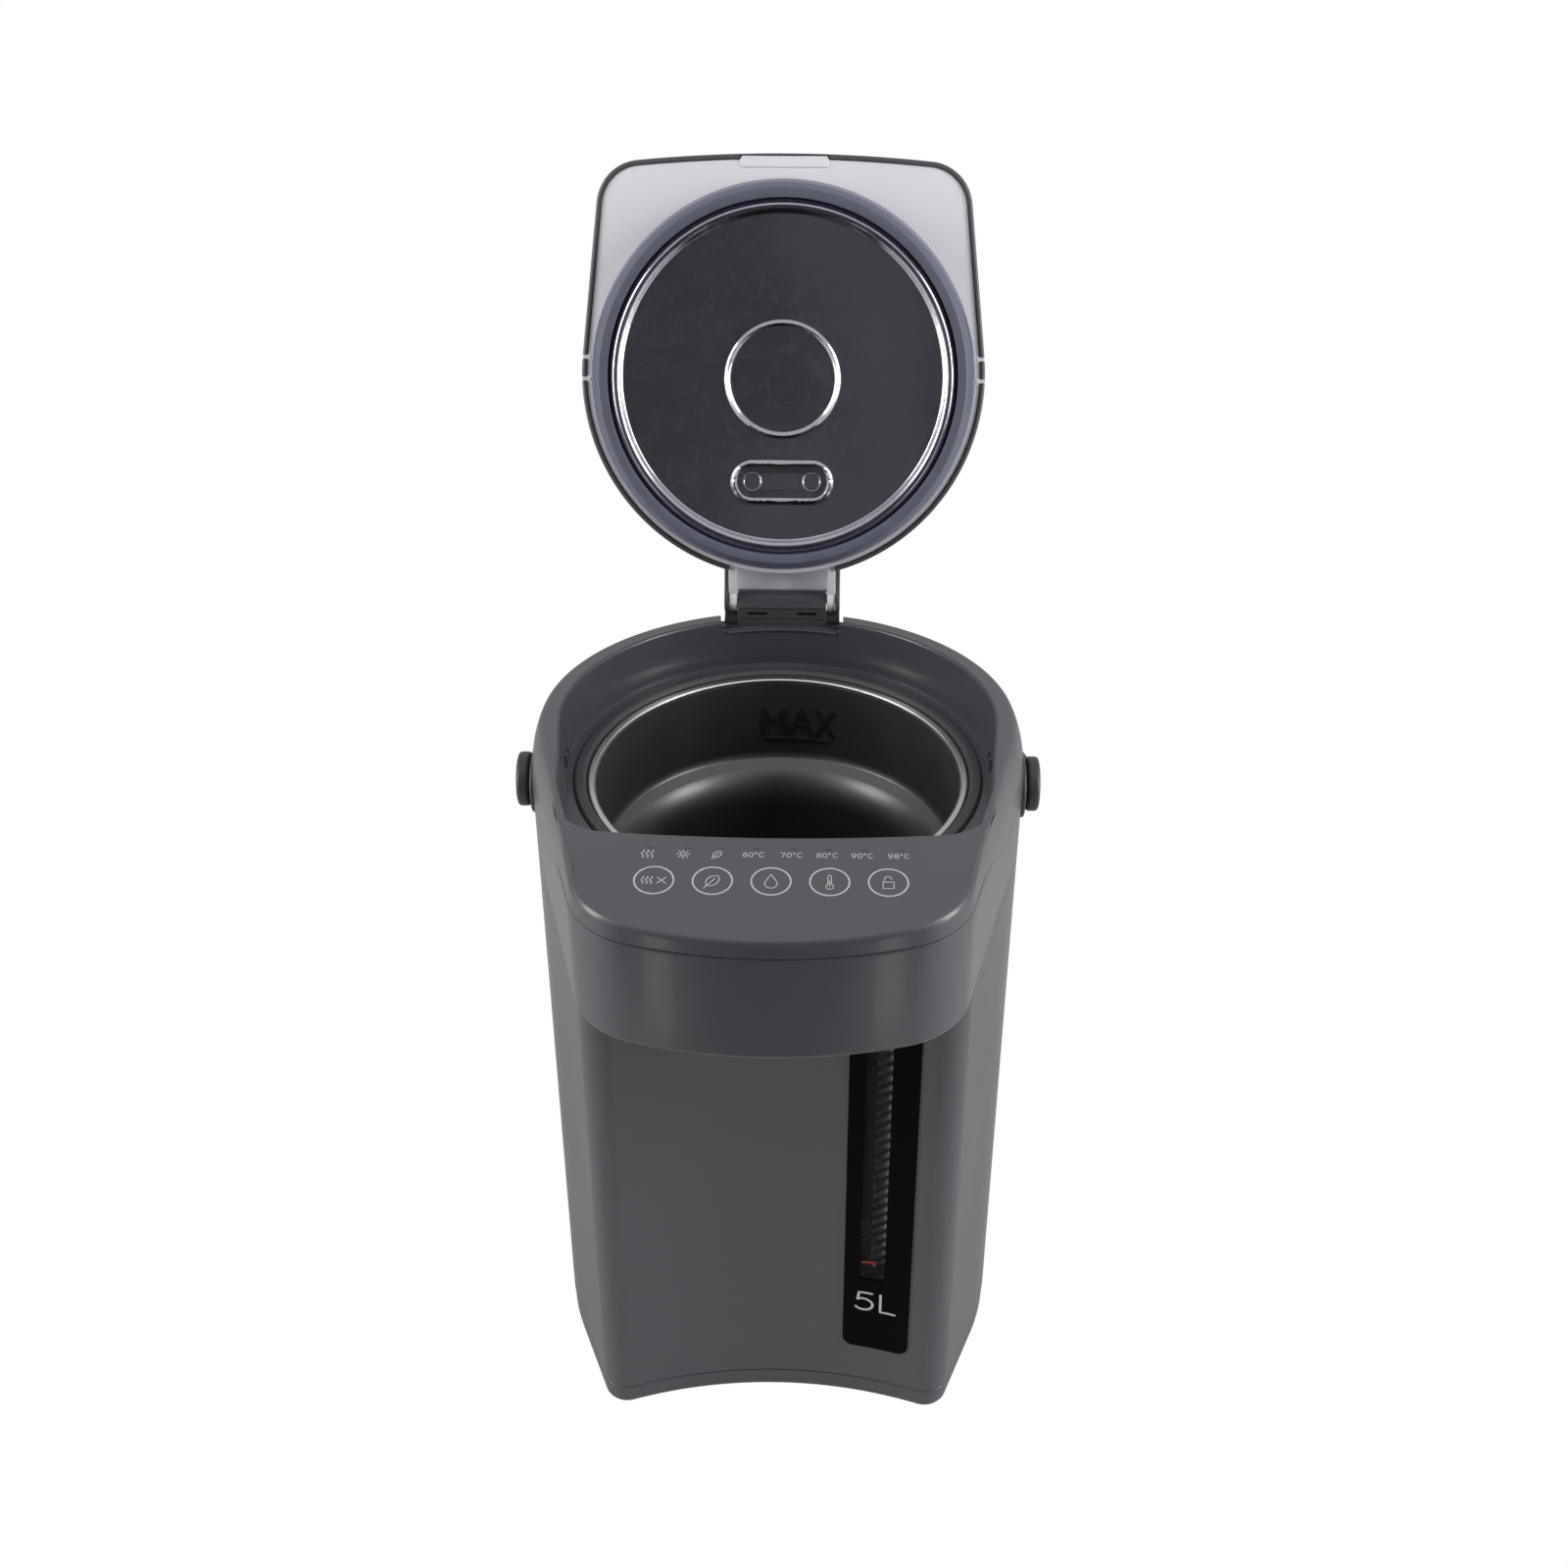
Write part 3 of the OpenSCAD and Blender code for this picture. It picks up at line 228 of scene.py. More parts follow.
@dataclass(frozen=True)
class GlossPanel(Coating):
    """Black or pale glossy plastic with a hard clear skin, faint orange peel and hairline scratches."""

    roughness: float = 0.08
    peel: float = 0.02
    shine: float = 0.5
    coat: float = 0.6

    def surface(self, paint: Paint) -> dict:
        """Peel in the normal, haze in the colour, scratches in the roughness.

        Args:
            paint: the tree to build in.

        Returns:
            The inputs.
        """
        peel = paint.noise(6.0, 2.0)
        haze = paint.noise(25.0, 4.0)
        scratch = paint.noise(1.2, 3.0, (1.0, 1.0, 0.04)).ramp(0.7, 0.76)
        rough = self.roughness + haze.ramp(0.4, 0.9) * 0.05 + scratch * 0.12
        return {"Base Color": self.between(paint, haze, 0.93, 1.07), "Roughness": rough,
                "Coat Weight": self.coat, "Specular IOR Level": self.shine, "Coat Roughness": 0.05,
                "Normal": paint.relief(peel, self.peel)}


class Lay(Enum):
    """How the fine lines in a metal run: their size in millimetres and their stretch along Z."""

    ROUND = (0.5, 1.0)
    ALONG_Z = (0.5, 0.05)
    CAST = (1.4, 1.0)


@dataclass(frozen=True)
class Metal(Coating):
    """Bare metal with drawn, turned or cast grain."""

    roughness: float = 0.22
    lay: Lay = Lay.ALONG_Z
    depth: float = 0.004

    def surface(self, paint: Paint) -> dict:
        """Grain in the normal, smears and dull spots in the colour.

        Args:
            paint: the tree to build in.

        Returns:
            The inputs.
        """
        fine, stretch = self.lay.value
        grain = paint.noise(fine, 3.0, (1.0, 1.0, stretch))
        smear = paint.noise(22.0, 4.0)
        dull = paint.noise(3.5, 1.0).ramp(0.68, 0.78)
        colour = paint.blend(dull * 0.25, self.between(paint, smear, 0.9, 1.06), mixed(self.colour, 0.6))
        return {"Base Color": colour, "Roughness": self.roughness + smear.ramp(0.35, 0.8) * 0.1 + grain * 0.05,
                "Metallic": 1.0, "Normal": paint.relief(grain, self.depth)}


@dataclass(frozen=True)
class PressedMirror(Coating):
    """Bright pressed steel sheet with soft waves and dried water marks."""

    roughness: float = 0.1

    def surface(self, paint: Paint) -> dict:
        """Waves in the normal, tide marks in the colour and the roughness.

        Args:
            paint: the tree to build in.

        Returns:
            The inputs.
        """
        wave = paint.noise(30.0, 2.0)
        tide = 1 - ((paint.noise(9.0, 5.0) - 0.56).size() * 26).ramp(0.0, 1.0)
        colour = paint.blend(tide * 0.18, self.between(paint, wave, 0.86, 1.08), mixed(self.colour, 1.5))
        rough = self.roughness + wave.ramp(0.3, 0.8) * 0.05 + tide * 0.06 + paint.noise(0.7, 2.0) * 0.03
        return {"Base Color": colour, "Roughness": rough, "Metallic": 1.0, "Normal": paint.relief(wave, 0.05, 0.5)}


@dataclass(frozen=True)
class CoatedWell(Coating):
    """Dark non-stick coating over steel: fine fleck, a soft sheen and a scale line."""

    fleck: Colour = (0.2, 0.2, 0.19)
    waterline: float = 0.268

    def surface(self, paint: Paint) -> dict:
        """Fleck and the wavering scale line in the colour.

        Args:
            paint: the tree to build in.

        Returns:
            The inputs.
        """
        fleck = paint.noise(0.6, 1.0).ramp(0.62, 0.72)
        cloud = paint.noise(30.0, 3.0)
        scale = 1 - ((paint.axes()[2] - self.waterline + cloud * 0.006).size() * 900).ramp(0.0, 1.0)
        colour = paint.blend(fleck * 0.35 + scale * 0.12, self.between(paint, cloud, 0.85, 1.2), self.fleck)
        return {"Base Color": colour, "Roughness": 0.33 + cloud * 0.08 + fleck * 0.1, "Metallic": 0.8,
                "Normal": paint.relief(paint.noise(0.5, 2.0), 0.006)}


@dataclass(frozen=True)
class ClearPart(Coating):
    """Clear glass or plastic, with a faint haze."""

    cover: float = 0.14
    roughness: float = 0.04

    def surface(self, paint: Paint) -> dict:
        """Haze in the colour, the roughness and the cover.

        Args:
            paint: the tree to build in.

        Returns:
            The inputs.
        """
        haze = paint.noise(12.0, 4.0).ramp(0.55, 0.9)
        return {"Base Color": paint.blend(haze * 0.3, self.colour, mixed(self.colour, 1.3)),
                "Roughness": self.roughness + haze * 0.05, "Alpha": self.cover + haze * 0.06,
                "Normal": paint.relief(paint.noise(20.0, 1.0), 0.02, 0.3)}


@dataclass(frozen=True)
class SoftRubber(Coating):
    """Rubber or silicone with a bloom and moulding speckle."""

    roughness: float = 0.6

    def surface(self, paint: Paint) -> dict:
        """Bloom in the colour and the roughness, speckle in the normal.

        Args:
            paint: the tree to build in.

        Returns:
            The inputs.
        """
        bloom = paint.noise(7.0, 4.0)
        return {"Base Color": paint.blend(bloom.ramp(0.4, 0.8) * 0.5, self.colour, mixed(self.colour, 1.25)),
                "Roughness": self.roughness + (bloom - 0.5) * 0.15,
                "Normal": paint.relief(paint.noise(0.5, 1.0), 0.02)}


@dataclass(frozen=True)
class Felt(Coating):
    """Felted glass wool."""

    def surface(self, paint: Paint) -> dict:
        """Fibres in the colour, fibres and tufts in the normal.

        Args:
            paint: the tree to build in.

        Returns:
            The inputs.
        """
        fibre = paint.noise(1.0, 6.0, (1.0, 1.0, 4.0))
        tuft = paint.noise(9.0, 3.0)
        return {"Base Color": self.between(paint, fibre, 0.75, 1.1), "Roughness": 0.95 - tuft * 0.05,
                "Normal": paint.relief(fibre + tuft, 0.5)}


@dataclass(frozen=True)
class Bands(Coating):
    """A surface crossed by even bands, such as a wound heater, a ribbon cable or a striped strip."""

    dark: Colour
    pitch: float
    direction: Point
    share: float = 0.5
    roughness: float = 0.4

    def surface(self, paint: Paint) -> dict:
        """Bands in the colour and the normal, wear over them.

        Args:
            paint: the tree to build in.

        Returns:
            The inputs.
        """
        across = paint.node("VectorMath", {0: paint.place(), 1: self.direction}, "Value",
                            operation="DOT_PRODUCT")
        wave = ((across / (self.pitch * MM)).fraction() - 0.5).size() * 2.0
        wear = paint.noise(4.0, 4.0)
        colour = paint.blend(wave.ramp(self.share - 0.06, self.share + 0.06), self.colour, self.dark)
        colour = paint.blend(wear.ramp(0.45, 0.85) * 0.3, colour, mixed(self.colour, 0.7))
        return {"Base Color": colour, "Roughness": self.roughness + wear * 0.1,
                "Normal": paint.relief(wave, 0.06, 0.6)}


@dataclass(frozen=True)
class CircuitBoard(Coating):
    """Green solder mask over copper tracks, with tinned pads."""

    tin: Colour = (0.65, 0.65, 0.62)
    step: float = 2.54

    def surface(self, paint: Paint) -> dict:
        """Tracks and pads in the colour and the normal, pads in the metal.

        Args:
            paint: the tree to build in.

        Returns:
            The inputs.
        """
        cell_x, cell_y = (((axis / (self.step * MM)).fraction() - 0.5).size() for axis in paint.axes()[:2])
        pad = 1 - ((cell_x * cell_x + cell_y * cell_y) * 30).ramp(0.5, 0.7)
        track = ((paint.noise(14.0, 0.0) * 14).fraction() - 0.5).size().ramp(0.3, 0.36)
        colour = paint.blend(pad * 0.8, paint.blend(track, self.colour, mixed(self.colour, 1.9)), self.tin)
        return {"Base Color": colour, "Roughness": 0.35 - pad * 0.1, "Metallic": pad * 0.8,
                "Normal": paint.relief(track + pad, 0.04)}


@dataclass(frozen=True)
class Ink(Coating):
    """Screen-printed ink with a slightly uneven laydown."""

    roughness: float = 0.5

    def surface(self, paint: Paint) -> dict:
        """The screen's mesh in the normal, patches in the colour.

        Args:
            paint: the tree to build in.

        Returns:
            The inputs.
        """
        mesh = paint.noise(0.25, 2.0)
        patch = paint.noise(6.0, 3.0)
        return {"Base Color": self.between(paint, mesh * 0.5 + patch * 0.4, 0.85, 1.1),
                "Roughness": self.roughness + patch * 0.1, "Normal": paint.relief(mesh, 0.01)}


class Finish(Enum):
    """Every finish of the pot."""

    SHELL = MouldedPlastic("shell_grey_plastic", (0.07, 0.068, 0.08), 0.36, coat=0.25)
    # A darker copy of the shell plastic for pieces that sit in shade, round the pot's mouth, under the beak and at the
    # hinge: painted shade.
    SHELL_INSIDE = MouldedPlastic("recess_grey_plastic", (0.056, 0.056, 0.064), 0.42)
    DARK = MouldedPlastic("dark_grey_plastic", (0.042, 0.042, 0.047), 0.42, 0.5)
    LIGHT = MouldedPlastic("light_grey_plastic", (0.78, 0.77, 0.81), 0.32, 0.3, 0.006, 0.02, 0.15)
    RING = MouldedPlastic("blue_grey_plastic", (0.118, 0.126, 0.178), 0.34, 0.3, 0.006, 0.03, 0.1)
    RUBBER = SoftRubber("black_rubber", (0.018, 0.018, 0.02))
    GASKET = SoftRubber("grey_gasket", (0.088, 0.096, 0.128), 0.5)
    SILICONE = SoftRubber("clear_white_silicone", (0.62, 0.62, 0.6), 0.38)
    STEEL = Metal("plain_steel", (0.62, 0.62, 0.61), 0.24)
    RIM_STEEL = Metal("rim_steel", (0.8, 0.8, 0.8), 0.28, Lay.ROUND)
    PLATE = PressedMirror("pressed_lid_steel", (0.55, 0.54, 0.61), 0.09)
    WELL = CoatedWell("coated_well", (0.15, 0.15, 0.148))
    # The full mark's coating is painted darker than the well: painted shade standing for the shade along the raised
    # letters' edges.
    MARK = CoatedWell("coated_mark", (0.075, 0.075, 0.072))
    GLASS = ClearPart("gauge_glass", (0.1, 0.11, 0.13), 0.06)
    GAUGE = GlossPanel("black_gauge_gloss", (0.0012, 0.0012, 0.0015), 0.12, 0.02, 0.04, 0.0)
    STRIPES = Bands("striped_gauge_strip", (0.95, 0.95, 0.94), (0.05, 0.05, 0.055), 5.2, (-0.5, 0.0, 0.866))
    WOOL = Felt("glass_wool", (0.72, 0.7, 0.62))
    ALLOY = Metal("cast_heater_alloy", (0.46, 0.46, 0.45), 0.42, Lay.CAST, 0.06)
    MICA = Bands("wound_heater_band", (0.42, 0.36, 0.24), (0.24, 0.2, 0.13), 4.0, (0.0, 0.0, 1.0))
    RIBBON = Bands("ribbon_cable", (0.55, 0.55, 0.54), (0.3, 0.3, 0.31), 1.27, (1.0, 0.0, 0.0), 0.7)
    CERAMIC = GlossPanel("white_ceramic", (0.78, 0.77, 0.73), 0.2)
    BOARD = CircuitBoard("solder_mask", (0.02, 0.16, 0.07))
    LAMP = GlossPanel("lamp_lens", (0.7, 0.68, 0.62), 0.15)
    INK = Ink("pale_print", (0.5, 0.5, 0.52))
    RED = Ink("red_mark", (0.62, 0.06, 0.05))
    LABEL = Ink("gauge_print", (0.62, 0.62, 0.62))


@cache
def material(finish: Finish) -> Material:
    """The finish's material, built on first use."""
    return finish.value.make()


# ---- measures


class Seat(Enum):
    """Where a piece stands at rest: as drawn, on the open lid or on the folded bail.

    Each is a turn about a sideways axis: its Y, its Z and its degrees.
    """

    FIXED = (0.0, 0.0, 0.0)
    LID = (106.0, 360.0, -109.5)
    BAIL = (4.0, 321.0, -25.0)

    def matrix(self) -> Matrix:
        """The turn as a matrix, in millimetres about the pot's axis."""
        y, z, degrees = self.value
        there = Matrix.Translation((0, y, z))
        return there @ Matrix.Rotation(radians(degrees), 4, "X") @ there.inverted()


@dataclass(frozen=True)
class LidSize:
    """Main measures of the lid and its opening."""

    radius: float = 94.5
    front: float = 100.5
    corner_x: float = 65.5
    corner_r: float = 21.0
    front_r: float = 700.0
    gap: float = 1.8
    low: float = 348.0
    panel: float = 349.0
    hinge_y: float = 106.0
    hinge_z: float = 360.0
    neck: float = 56.0

    @property
    def hinge(self) -> tuple[float, float]:
        """Y and Z of the hinge's axis."""
        return (self.hinge_y, self.hinge_z)


@dataclass(frozen=True)
class BodySize:
    """Main measures of the moulded body and head."""

    radius: float = 110.0
    corner_x: float = 75.3
    corner_r: float = 12.0
    hollow_r: float = 217.0
    hollow_y: float = 75.4
    wall: float = 2.5
    seam_z: float = 13.3
    beak_z: float = 301.0
    beak_y: float = 163.0
    beak_front_r: float = 187.0
    beak_corner_x: float = 44.5
    beak_corner_r: float = 37.0
    seam_low: float = 330.0
    seam_high: float = 351.5
    collar_back: float = 354.0
    ridge: float = 366.0
    panel_front: float = 359.5
    recess_z: float = 329.0

    @property
    def hollow_middle(self) -> float:
        """Y place of the hollow front's centre of curvature."""
        return -self.hollow_y - self.hollow_r

    @property
    def collar_lean(self) -> float:
        """How far the collar falls towards the back, in degrees."""
        return degrees(atan((self.ridge - self.collar_back) / (LIDS.front + LIDS.gap + 97)))

    @property
    def panel_lean(self) -> float:
        """How far the control panel falls towards the front, in degrees."""
        return degrees(atan((self.ridge - self.panel_front) / (self.beak_y - LIDS.front - LIDS.gap)))


LIDS = LidSize()
BODY = BodySize()


# ---- outlines in plan


def arc(centre: Sequence[float], radius: float, start: float, end: float, steps: int) -> Rows:
    """Points along an arc from one angle in degrees to another, its last point left out."""
    turn = np.radians(start + (end - start) * np.arange(steps) / steps)
    return np.stack([centre[0] + radius * np.cos(turn), centre[1] + radius * np.sin(turn)], 1)


def disc(radius: float, segments: int = 64, centre: Sequence[float] = (0.0, 0.0)) -> Rows:
    """A circle as an outline."""
    return arc(centre, radius, 0, 360, segments)


def circle(segments: int) -> Rows:
    """The unit circle as an outline."""
    turn = np.linspace(0, 2 * np.pi, segments, endpoint=False)
    return np.stack([np.cos(turn), np.sin(turn)], 1)


def straight(first: Rows, last: Rows, steps: int) -> Rows:
    """Points from first towards last, last left out."""
    share = np.arange(steps)[:, None] / steps
    return first * (1 - share) + last * share


def outward(degrees: float) -> Rows:
    """The unit vector at an angle."""
    return np.array([cos(radians(degrees)), sin(radians(degrees))])


def _joined(face: Rows, centre: Point, start: float, steps: int, radius: float) -> Rows:
    """Closes a symmetric outline: front edge, round corner, straight side, round back and their mirror images.

    Args:
        face: the front edge, left to right, with one point too many at its left.
        centre: the right corner's centre, x and y, and its radius.
        start: the angle in degrees at which the corner leaves the front.
        steps: segments in the corner.
        radius: the back's radius.

    Returns:
        The outline, counter-clockwise from the front edge's left end, with as many points whatever the sizes.
    """
    x, y, corner_r = centre
    tangent = degrees(atan2(y, x) + acos((radius - corner_r) / hypot(x, y)))
    end = np.array([x, y]) + corner_r * outward(tangent)
    corner = np.vstack([arc((x, y), corner_r, start, tangent, steps), [end]])
    meet, flip = radius * outward(tangent), np.array([-1.0, 1.0])
    side = straight(end, meet, 15)[1:]
    back = arc((0, 0), radius, tangent, 180 - tangent, 120)
    return np.vstack([face[1:], corner, side, back, [meet * flip], side[::-1] * flip, corner[::-1] * flip])


def bowed_plan(radius: float, corner_x: float, corner_r: float, front: float, front_r: float) -> Rows:
    """Round back, straight tapering sides, two round corners and a bowed front.

    Args:
        radius: the back's radius.
        corner_x: sideways place of a corner's centre.
        corner_r: the corner's radius.
        front: distance from the axis to the front.
        front_r: radius of the front's bow.

    Returns:
        The outline.
    """
    corner_y = front_r - front - sqrt((front_r - corner_r) ** 2 - corner_x ** 2)
    bend = degrees(asin(corner_x / (front_r - corner_r)))
    face = arc((0, front_r - front), front_r, -90 - bend, -90 + bend, 44)
    return _joined(face, (corner_x, corner_y, corner_r), -90 + bend, 26, radius)


def hollow_plan(inset: float) -> Rows:
    """The body's outline, some way inside its surface: round back, sides, small corners and a hollow front.

    Args:
        inset: how far inside.

    Returns:
        The outline.
    """
    corner_r, hollow_r = BODY.corner_r - inset, BODY.hollow_r + inset
    corner_y = BODY.hollow_middle + sqrt((hollow_r + corner_r) ** 2 - BODY.corner_x ** 2)
    bend = degrees(asin(BODY.corner_x / (hollow_r + corner_r)))
    face = arc((0, BODY.hollow_middle), hollow_r, 90 + bend, 90 - bend, 60)
    return _joined(face, (BODY.corner_x, corner_y, corner_r), -90 - bend, 24, BODY.radius - inset)


def cap_plan(inset: float, beak_inset: float | None = None) -> Rows:
    """The head's outline, which may lean in more over the round body than over the beak."""
    beak = inset if beak_inset is None else beak_inset
    return bowed_plan(BODY.radius - inset, BODY.beak_corner_x, BODY.beak_corner_r - beak, BODY.beak_y - beak,
                      BODY.beak_front_r - beak)


def lid_plan(grow: float) -> Rows:
    """The lid's outline, grown outwards."""
    return bowed_plan(LIDS.radius + grow, LIDS.corner_x, LIDS.corner_r + grow, LIDS.front + grow,
                      LIDS.front_r + grow)


def seam_height(y: Rows) -> Rows:
    """Height of the joint between cap and body, at a place along Y."""
    share = np.clip((-45 - y) / 75, 0, 1)
    return BODY.seam_low + (BODY.seam_high - BODY.seam_low) * (1 - np.cos(np.pi * share)) / 2


def roof_height(y: Rows) -> Rows:
    """Height of the collar and the control panel, with the ridge between them softened."""
    marks = [[-170, 358.8], [-118, 364.3], [-112, 364.93], [-107, 365.24], [-102, 365.36],
             [-96, 365.28], [-90, 365.04], [-85, 364.76], [97, 354.0], [130, 352.0]]
    return np.interp(y, *np.transpose(marks))


def rounding(turns: Iterable[float]) -> list[tuple[float, float]]:
    """How far in and how far along a rounded edge is, as shares of its radius, at angles in degrees."""
    return [(1 - sin(radians(turn)), 1 - cos(radians(turn))) for turn in turns]


# ---- skins


@dataclass
class Skin:
    """Vertices in millimetres and faces of one closed surface, or of several."""

    points: Rows
    faces: list[tuple[int, ...]]

    def __add__(self, other: "Skin") -> "Skin":
        """Both surfaces in one skin."""
        shift = len(self.points)
        return Skin(np.vstack([self.points, other.points]),
                    self.faces + [tuple(i + shift for i in face) for face in other.faces])

    def __radd__(self, _start: int) -> "Skin":
        """Lets sum() join skins, from its start of 0."""
        return self

    def moved(self, x: float = 0.0, y: float = 0.0, z: float = 0.0) -> "Skin":
        """The skin shifted."""
        return Skin(self.points + np.array([x, y, z]), self.faces)

    def paired(self) -> "Skin":
        """The skin and its mirror image, left for right."""
        return self + Skin(self.points * np.array([-1.0, 1.0, 1.0]), [face[::-1] for face in self.faces])


def ring(outline: Rows, height: float | Rows) -> Rows:
    """An outline lifted to a height, or to a height for each point."""
    return np.column_stack([outline, np.broadcast_to(height, len(outline))])


def stack(plan: Callable[[float], Rows], rows: Iterable[tuple[float, float]]) -> list[Rows]:
    """Rings of a plan, for rows of its size and its height."""
    return [ring(plan(size), height) for size, height in rows]


def loft(rings: Sequence[Rows], closed: bool = False, pointed: bool = False) -> Skin:
    """Skins a stack of rings with equally many points.

    Args:
        rings: arrays of (x, y, z) rows.
        closed: whether the last ring joins the first, as in a walled tube.
        pointed: whether open ends are drawn in to their middles rather than covered by one face.

    Returns:
        The closed skin.
    """
    count, size = len(rings), len(rings[0])
    points = list(np.vstack(rings))
    faces = [(k * size + i, k * size + (i + 1) % size, (k + 1) % count * size + (i + 1) % size,
              (k + 1) % count * size + i) for k in range(count if closed else count - 1) for i in range(size)]
    for start, way in () if closed else ((0, -1), ((count - 1) * size, 1)):
        if pointed:
            pairs = [(start + i, start + (i + 1) % size) for i in range(size)]
            faces += [(*pair[::way], len(points)) for pair in pairs]
            points.append(np.mean(points[start:start + size], 0))
        else:
            faces.append(tuple(range(start, start + size))[::way])
    return Skin(np.array(points), faces)


def softened(corners: Sequence[Sequence[float]], steps: int = 4) -> Rows:
    """Rounds the corners of a closed profile.

    Args:
        corners: (a, b) or (a, b, radius) rows; a corner without a radius stays sharp.
        steps: segments in each rounding.

    Returns:
        The rounded profile.
    """
    out = []
    for i, corner in enumerate(corners):
        here = np.array(corner[:2], float)
        before, after = (np.array(corners[k % len(corners)][:2], float) - here for k in (i - 1, i + 1))
        reach = min(np.linalg.norm(before), np.linalg.norm(after))
        sharp = len(corner) < 3 or corner[2] <= 0 or reach < 1e-6
        if not sharp:
            u, v = before / np.linalg.norm(before), after / np.linalg.norm(after)
            half = acos(float(np.clip(u @ v, -1, 1))) / 2
        if sharp or half > radians(89):
            out.append(here)
            continue
        cut = min(corner[2] / tan(half), reach * 0.49)
        radius = cut * tan(half)
        centre = here + (u + v) / np.linalg.norm(u + v) * (radius / sin(half))
        start, end = here + u * cut - centre, here + v * cut - centre
        swing = atan2(start[0] * end[1] - start[1] * end[0], float(start @ end))
        base = atan2(start[1], start[0])
        for turn in (base + swing * k / steps for k in range(steps + 1)):
            out.append(centre + radius * np.array([cos(turn), sin(turn)]))
    return np.array(out)


def revolve(profile: Sequence[Sequence[float]], segments: int = 192, closed: bool = True) -> Skin:
    """Turns a profile of (radius, height) about the Z axis; an open one is drawn in to points at its ends."""
    return loft(stack(lambda radius: circle(segments) * radius, profile), closed, True)


def slab(outline: Rows, low: float, high: float, edge: float = 0.4, axis: str = "Z") -> Skin:
    """A plate with its edges eased.

    Args:
        outline: its outline, in the plane square to the axis.
        low: where it starts along the axis.
        high: where it ends.
        edge: how wide the eased edge is.
        axis: "Z", "X" (outline in Y, Z) or "Y" (outline in X, Z).

    Returns:
        The skin.
    """
    outline = np.asarray(outline, float)
    ahead = np.roll(outline, -1, 0)
    after, before = ahead - outline, outline - np.roll(outline, 1, 0)
    after, before = (way / (np.linalg.norm(way, axis=1, keepdims=True) + 1e-12) for way in (after, before))
    sign = 1.0 if np.sum(outline[:, 0] * ahead[:, 1] - ahead[:, 0] * outline[:, 1]) > 0 else -1.0
    normal = (np.stack([-after[:, 1], after[:, 0]], 1) + np.stack([-before[:, 1], before[:, 0]], 1)) * sign
    inward = normal / np.maximum(np.sum(normal * normal, 1, keepdims=True) / 2, 0.5)
    edge = min(edge, (high - low) / 2.01)
    bends = rounding((0, 30, 60, 90))
    rings = [ring(outline + inward * edge * near, low + edge * along) for near, along in bends]
    rings += [ring(outline + inward * edge * near, high - edge * along) for near, along in bends[::-1]]
    made = loft(rings)
    made.points = made.points[:, {"Z": [0, 1, 2], "X": [2, 0, 1], "Y": [0, 2, 1]}[axis]]
    if axis == "Y":
        made.faces = [face[::-1] for face in made.faces]
    return made


def box(low: Point, high: Point, corner: float = 0.8, edge: float = 0.4, axis: str = "Z") -> Skin:
    """A box with rounded corners along one axis and eased edges on the other two.

    Args:
        low: its lowest corner.
        high: its highest corner.
        corner: radius of the corners that run along the axis.
        edge: how wide the eased edges are.
        axis: "Z", "X" or "Y".

    Returns:
        The skin.
    """
    a, b, c = {"Z": (0, 1, 2), "X": (1, 2, 0), "Y": (0, 2, 1)}[axis]
    outline = softened([(low[a], low[b], corner), (high[a], low[b], corner),
                        (high[a], high[b], corner), (low[a], high[b], corner)], 5)
    return slab(outline, low[c], high[c], edge, axis)


# ---- pieces


def linked(name: str, data: bpy.types.ID) -> Thing:
    """An object for a mesh, a light or a camera, linked to the scene.

    Args:
        name: its name.
        data: what it shows.

    Returns:
        The object.
    """
    made = bpy.data.objects.new(name, data)
    bpy.context.scene.collection.objects.link(made)
    return made


def cleaned(mesh: bpy.types.Mesh, packed: bool = False) -> bpy.types.Mesh:
    """Welds a mesh and turns its faces outwards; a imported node's also loses its flat seams.

    Args:
        mesh: the mesh.
        packed: whether it comes from the pack.

    Returns:
        The same mesh.
    """
    work = bmesh.new()
    work.from_mesh(mesh)
    bmesh.ops.remove_doubles(work, verts=work.verts, dist=2e-6)
    if packed:
        bmesh.ops.dissolve_limit(work, angle_limit=radians(0.5), verts=work.verts, edges=work.edges)
    else:
        bmesh.ops.dissolve_degenerate(work, edges=work.edges, dist=1e-6)
    bmesh.ops.recalc_face_normals(work, faces=work.faces)
    work.to_mesh(mesh)
    work.free()
    return mesh


def bare(name: str, skin: Skin, seat: Seat = Seat.FIXED) -> Thing:
    """Makes a mesh object in the row frame, at the origin and unturned.

    Args:
        name: the object's name.
        skin: its skin, in millimetres about the pot's axis.
        seat: where it stands at rest.

    Returns:
        The object.
    """
    move = seat.matrix()
    points = skin.points @ np.array(move.to_3x3()).T + np.array(move.translation) + np.array([0.0, AXIS_Y, 0.0])
    mesh = bpy.data.meshes.new(name)
    mesh.from_pydata((points * MM).tolist(), [], skin.faces)
    return linked(name, cleaned(mesh))


def modify(obj: Thing, kind: str, **settings: object) -> None:
    """Runs one modifier on an object and keeps what it makes of the mesh.

    Args:
        obj: the object.
        kind: the modifier's type.
        settings: the modifier's properties.
    """
    change = obj.modifiers.new("change", kind)
    for key, value in settings.items():
        setattr(change, key, value)
    baked(obj)


def baked(obj: Thing) -> Thing:
    """Replaces an object's mesh by what its modifiers make of it, and removes them.

    Args:
        obj: the object.

    Returns:
        The same object.
    """
    bpy.context.view_layer.update()
    seen = obj.evaluated_get(bpy.context.evaluated_depsgraph_get())
    mesh = bpy.data.meshes.new_from_object(seen)
    obj.modifiers.clear()
    old, obj.data = obj.data, mesh
    bpy.data.meshes.remove(old)
    mesh.name = obj.name
    return obj


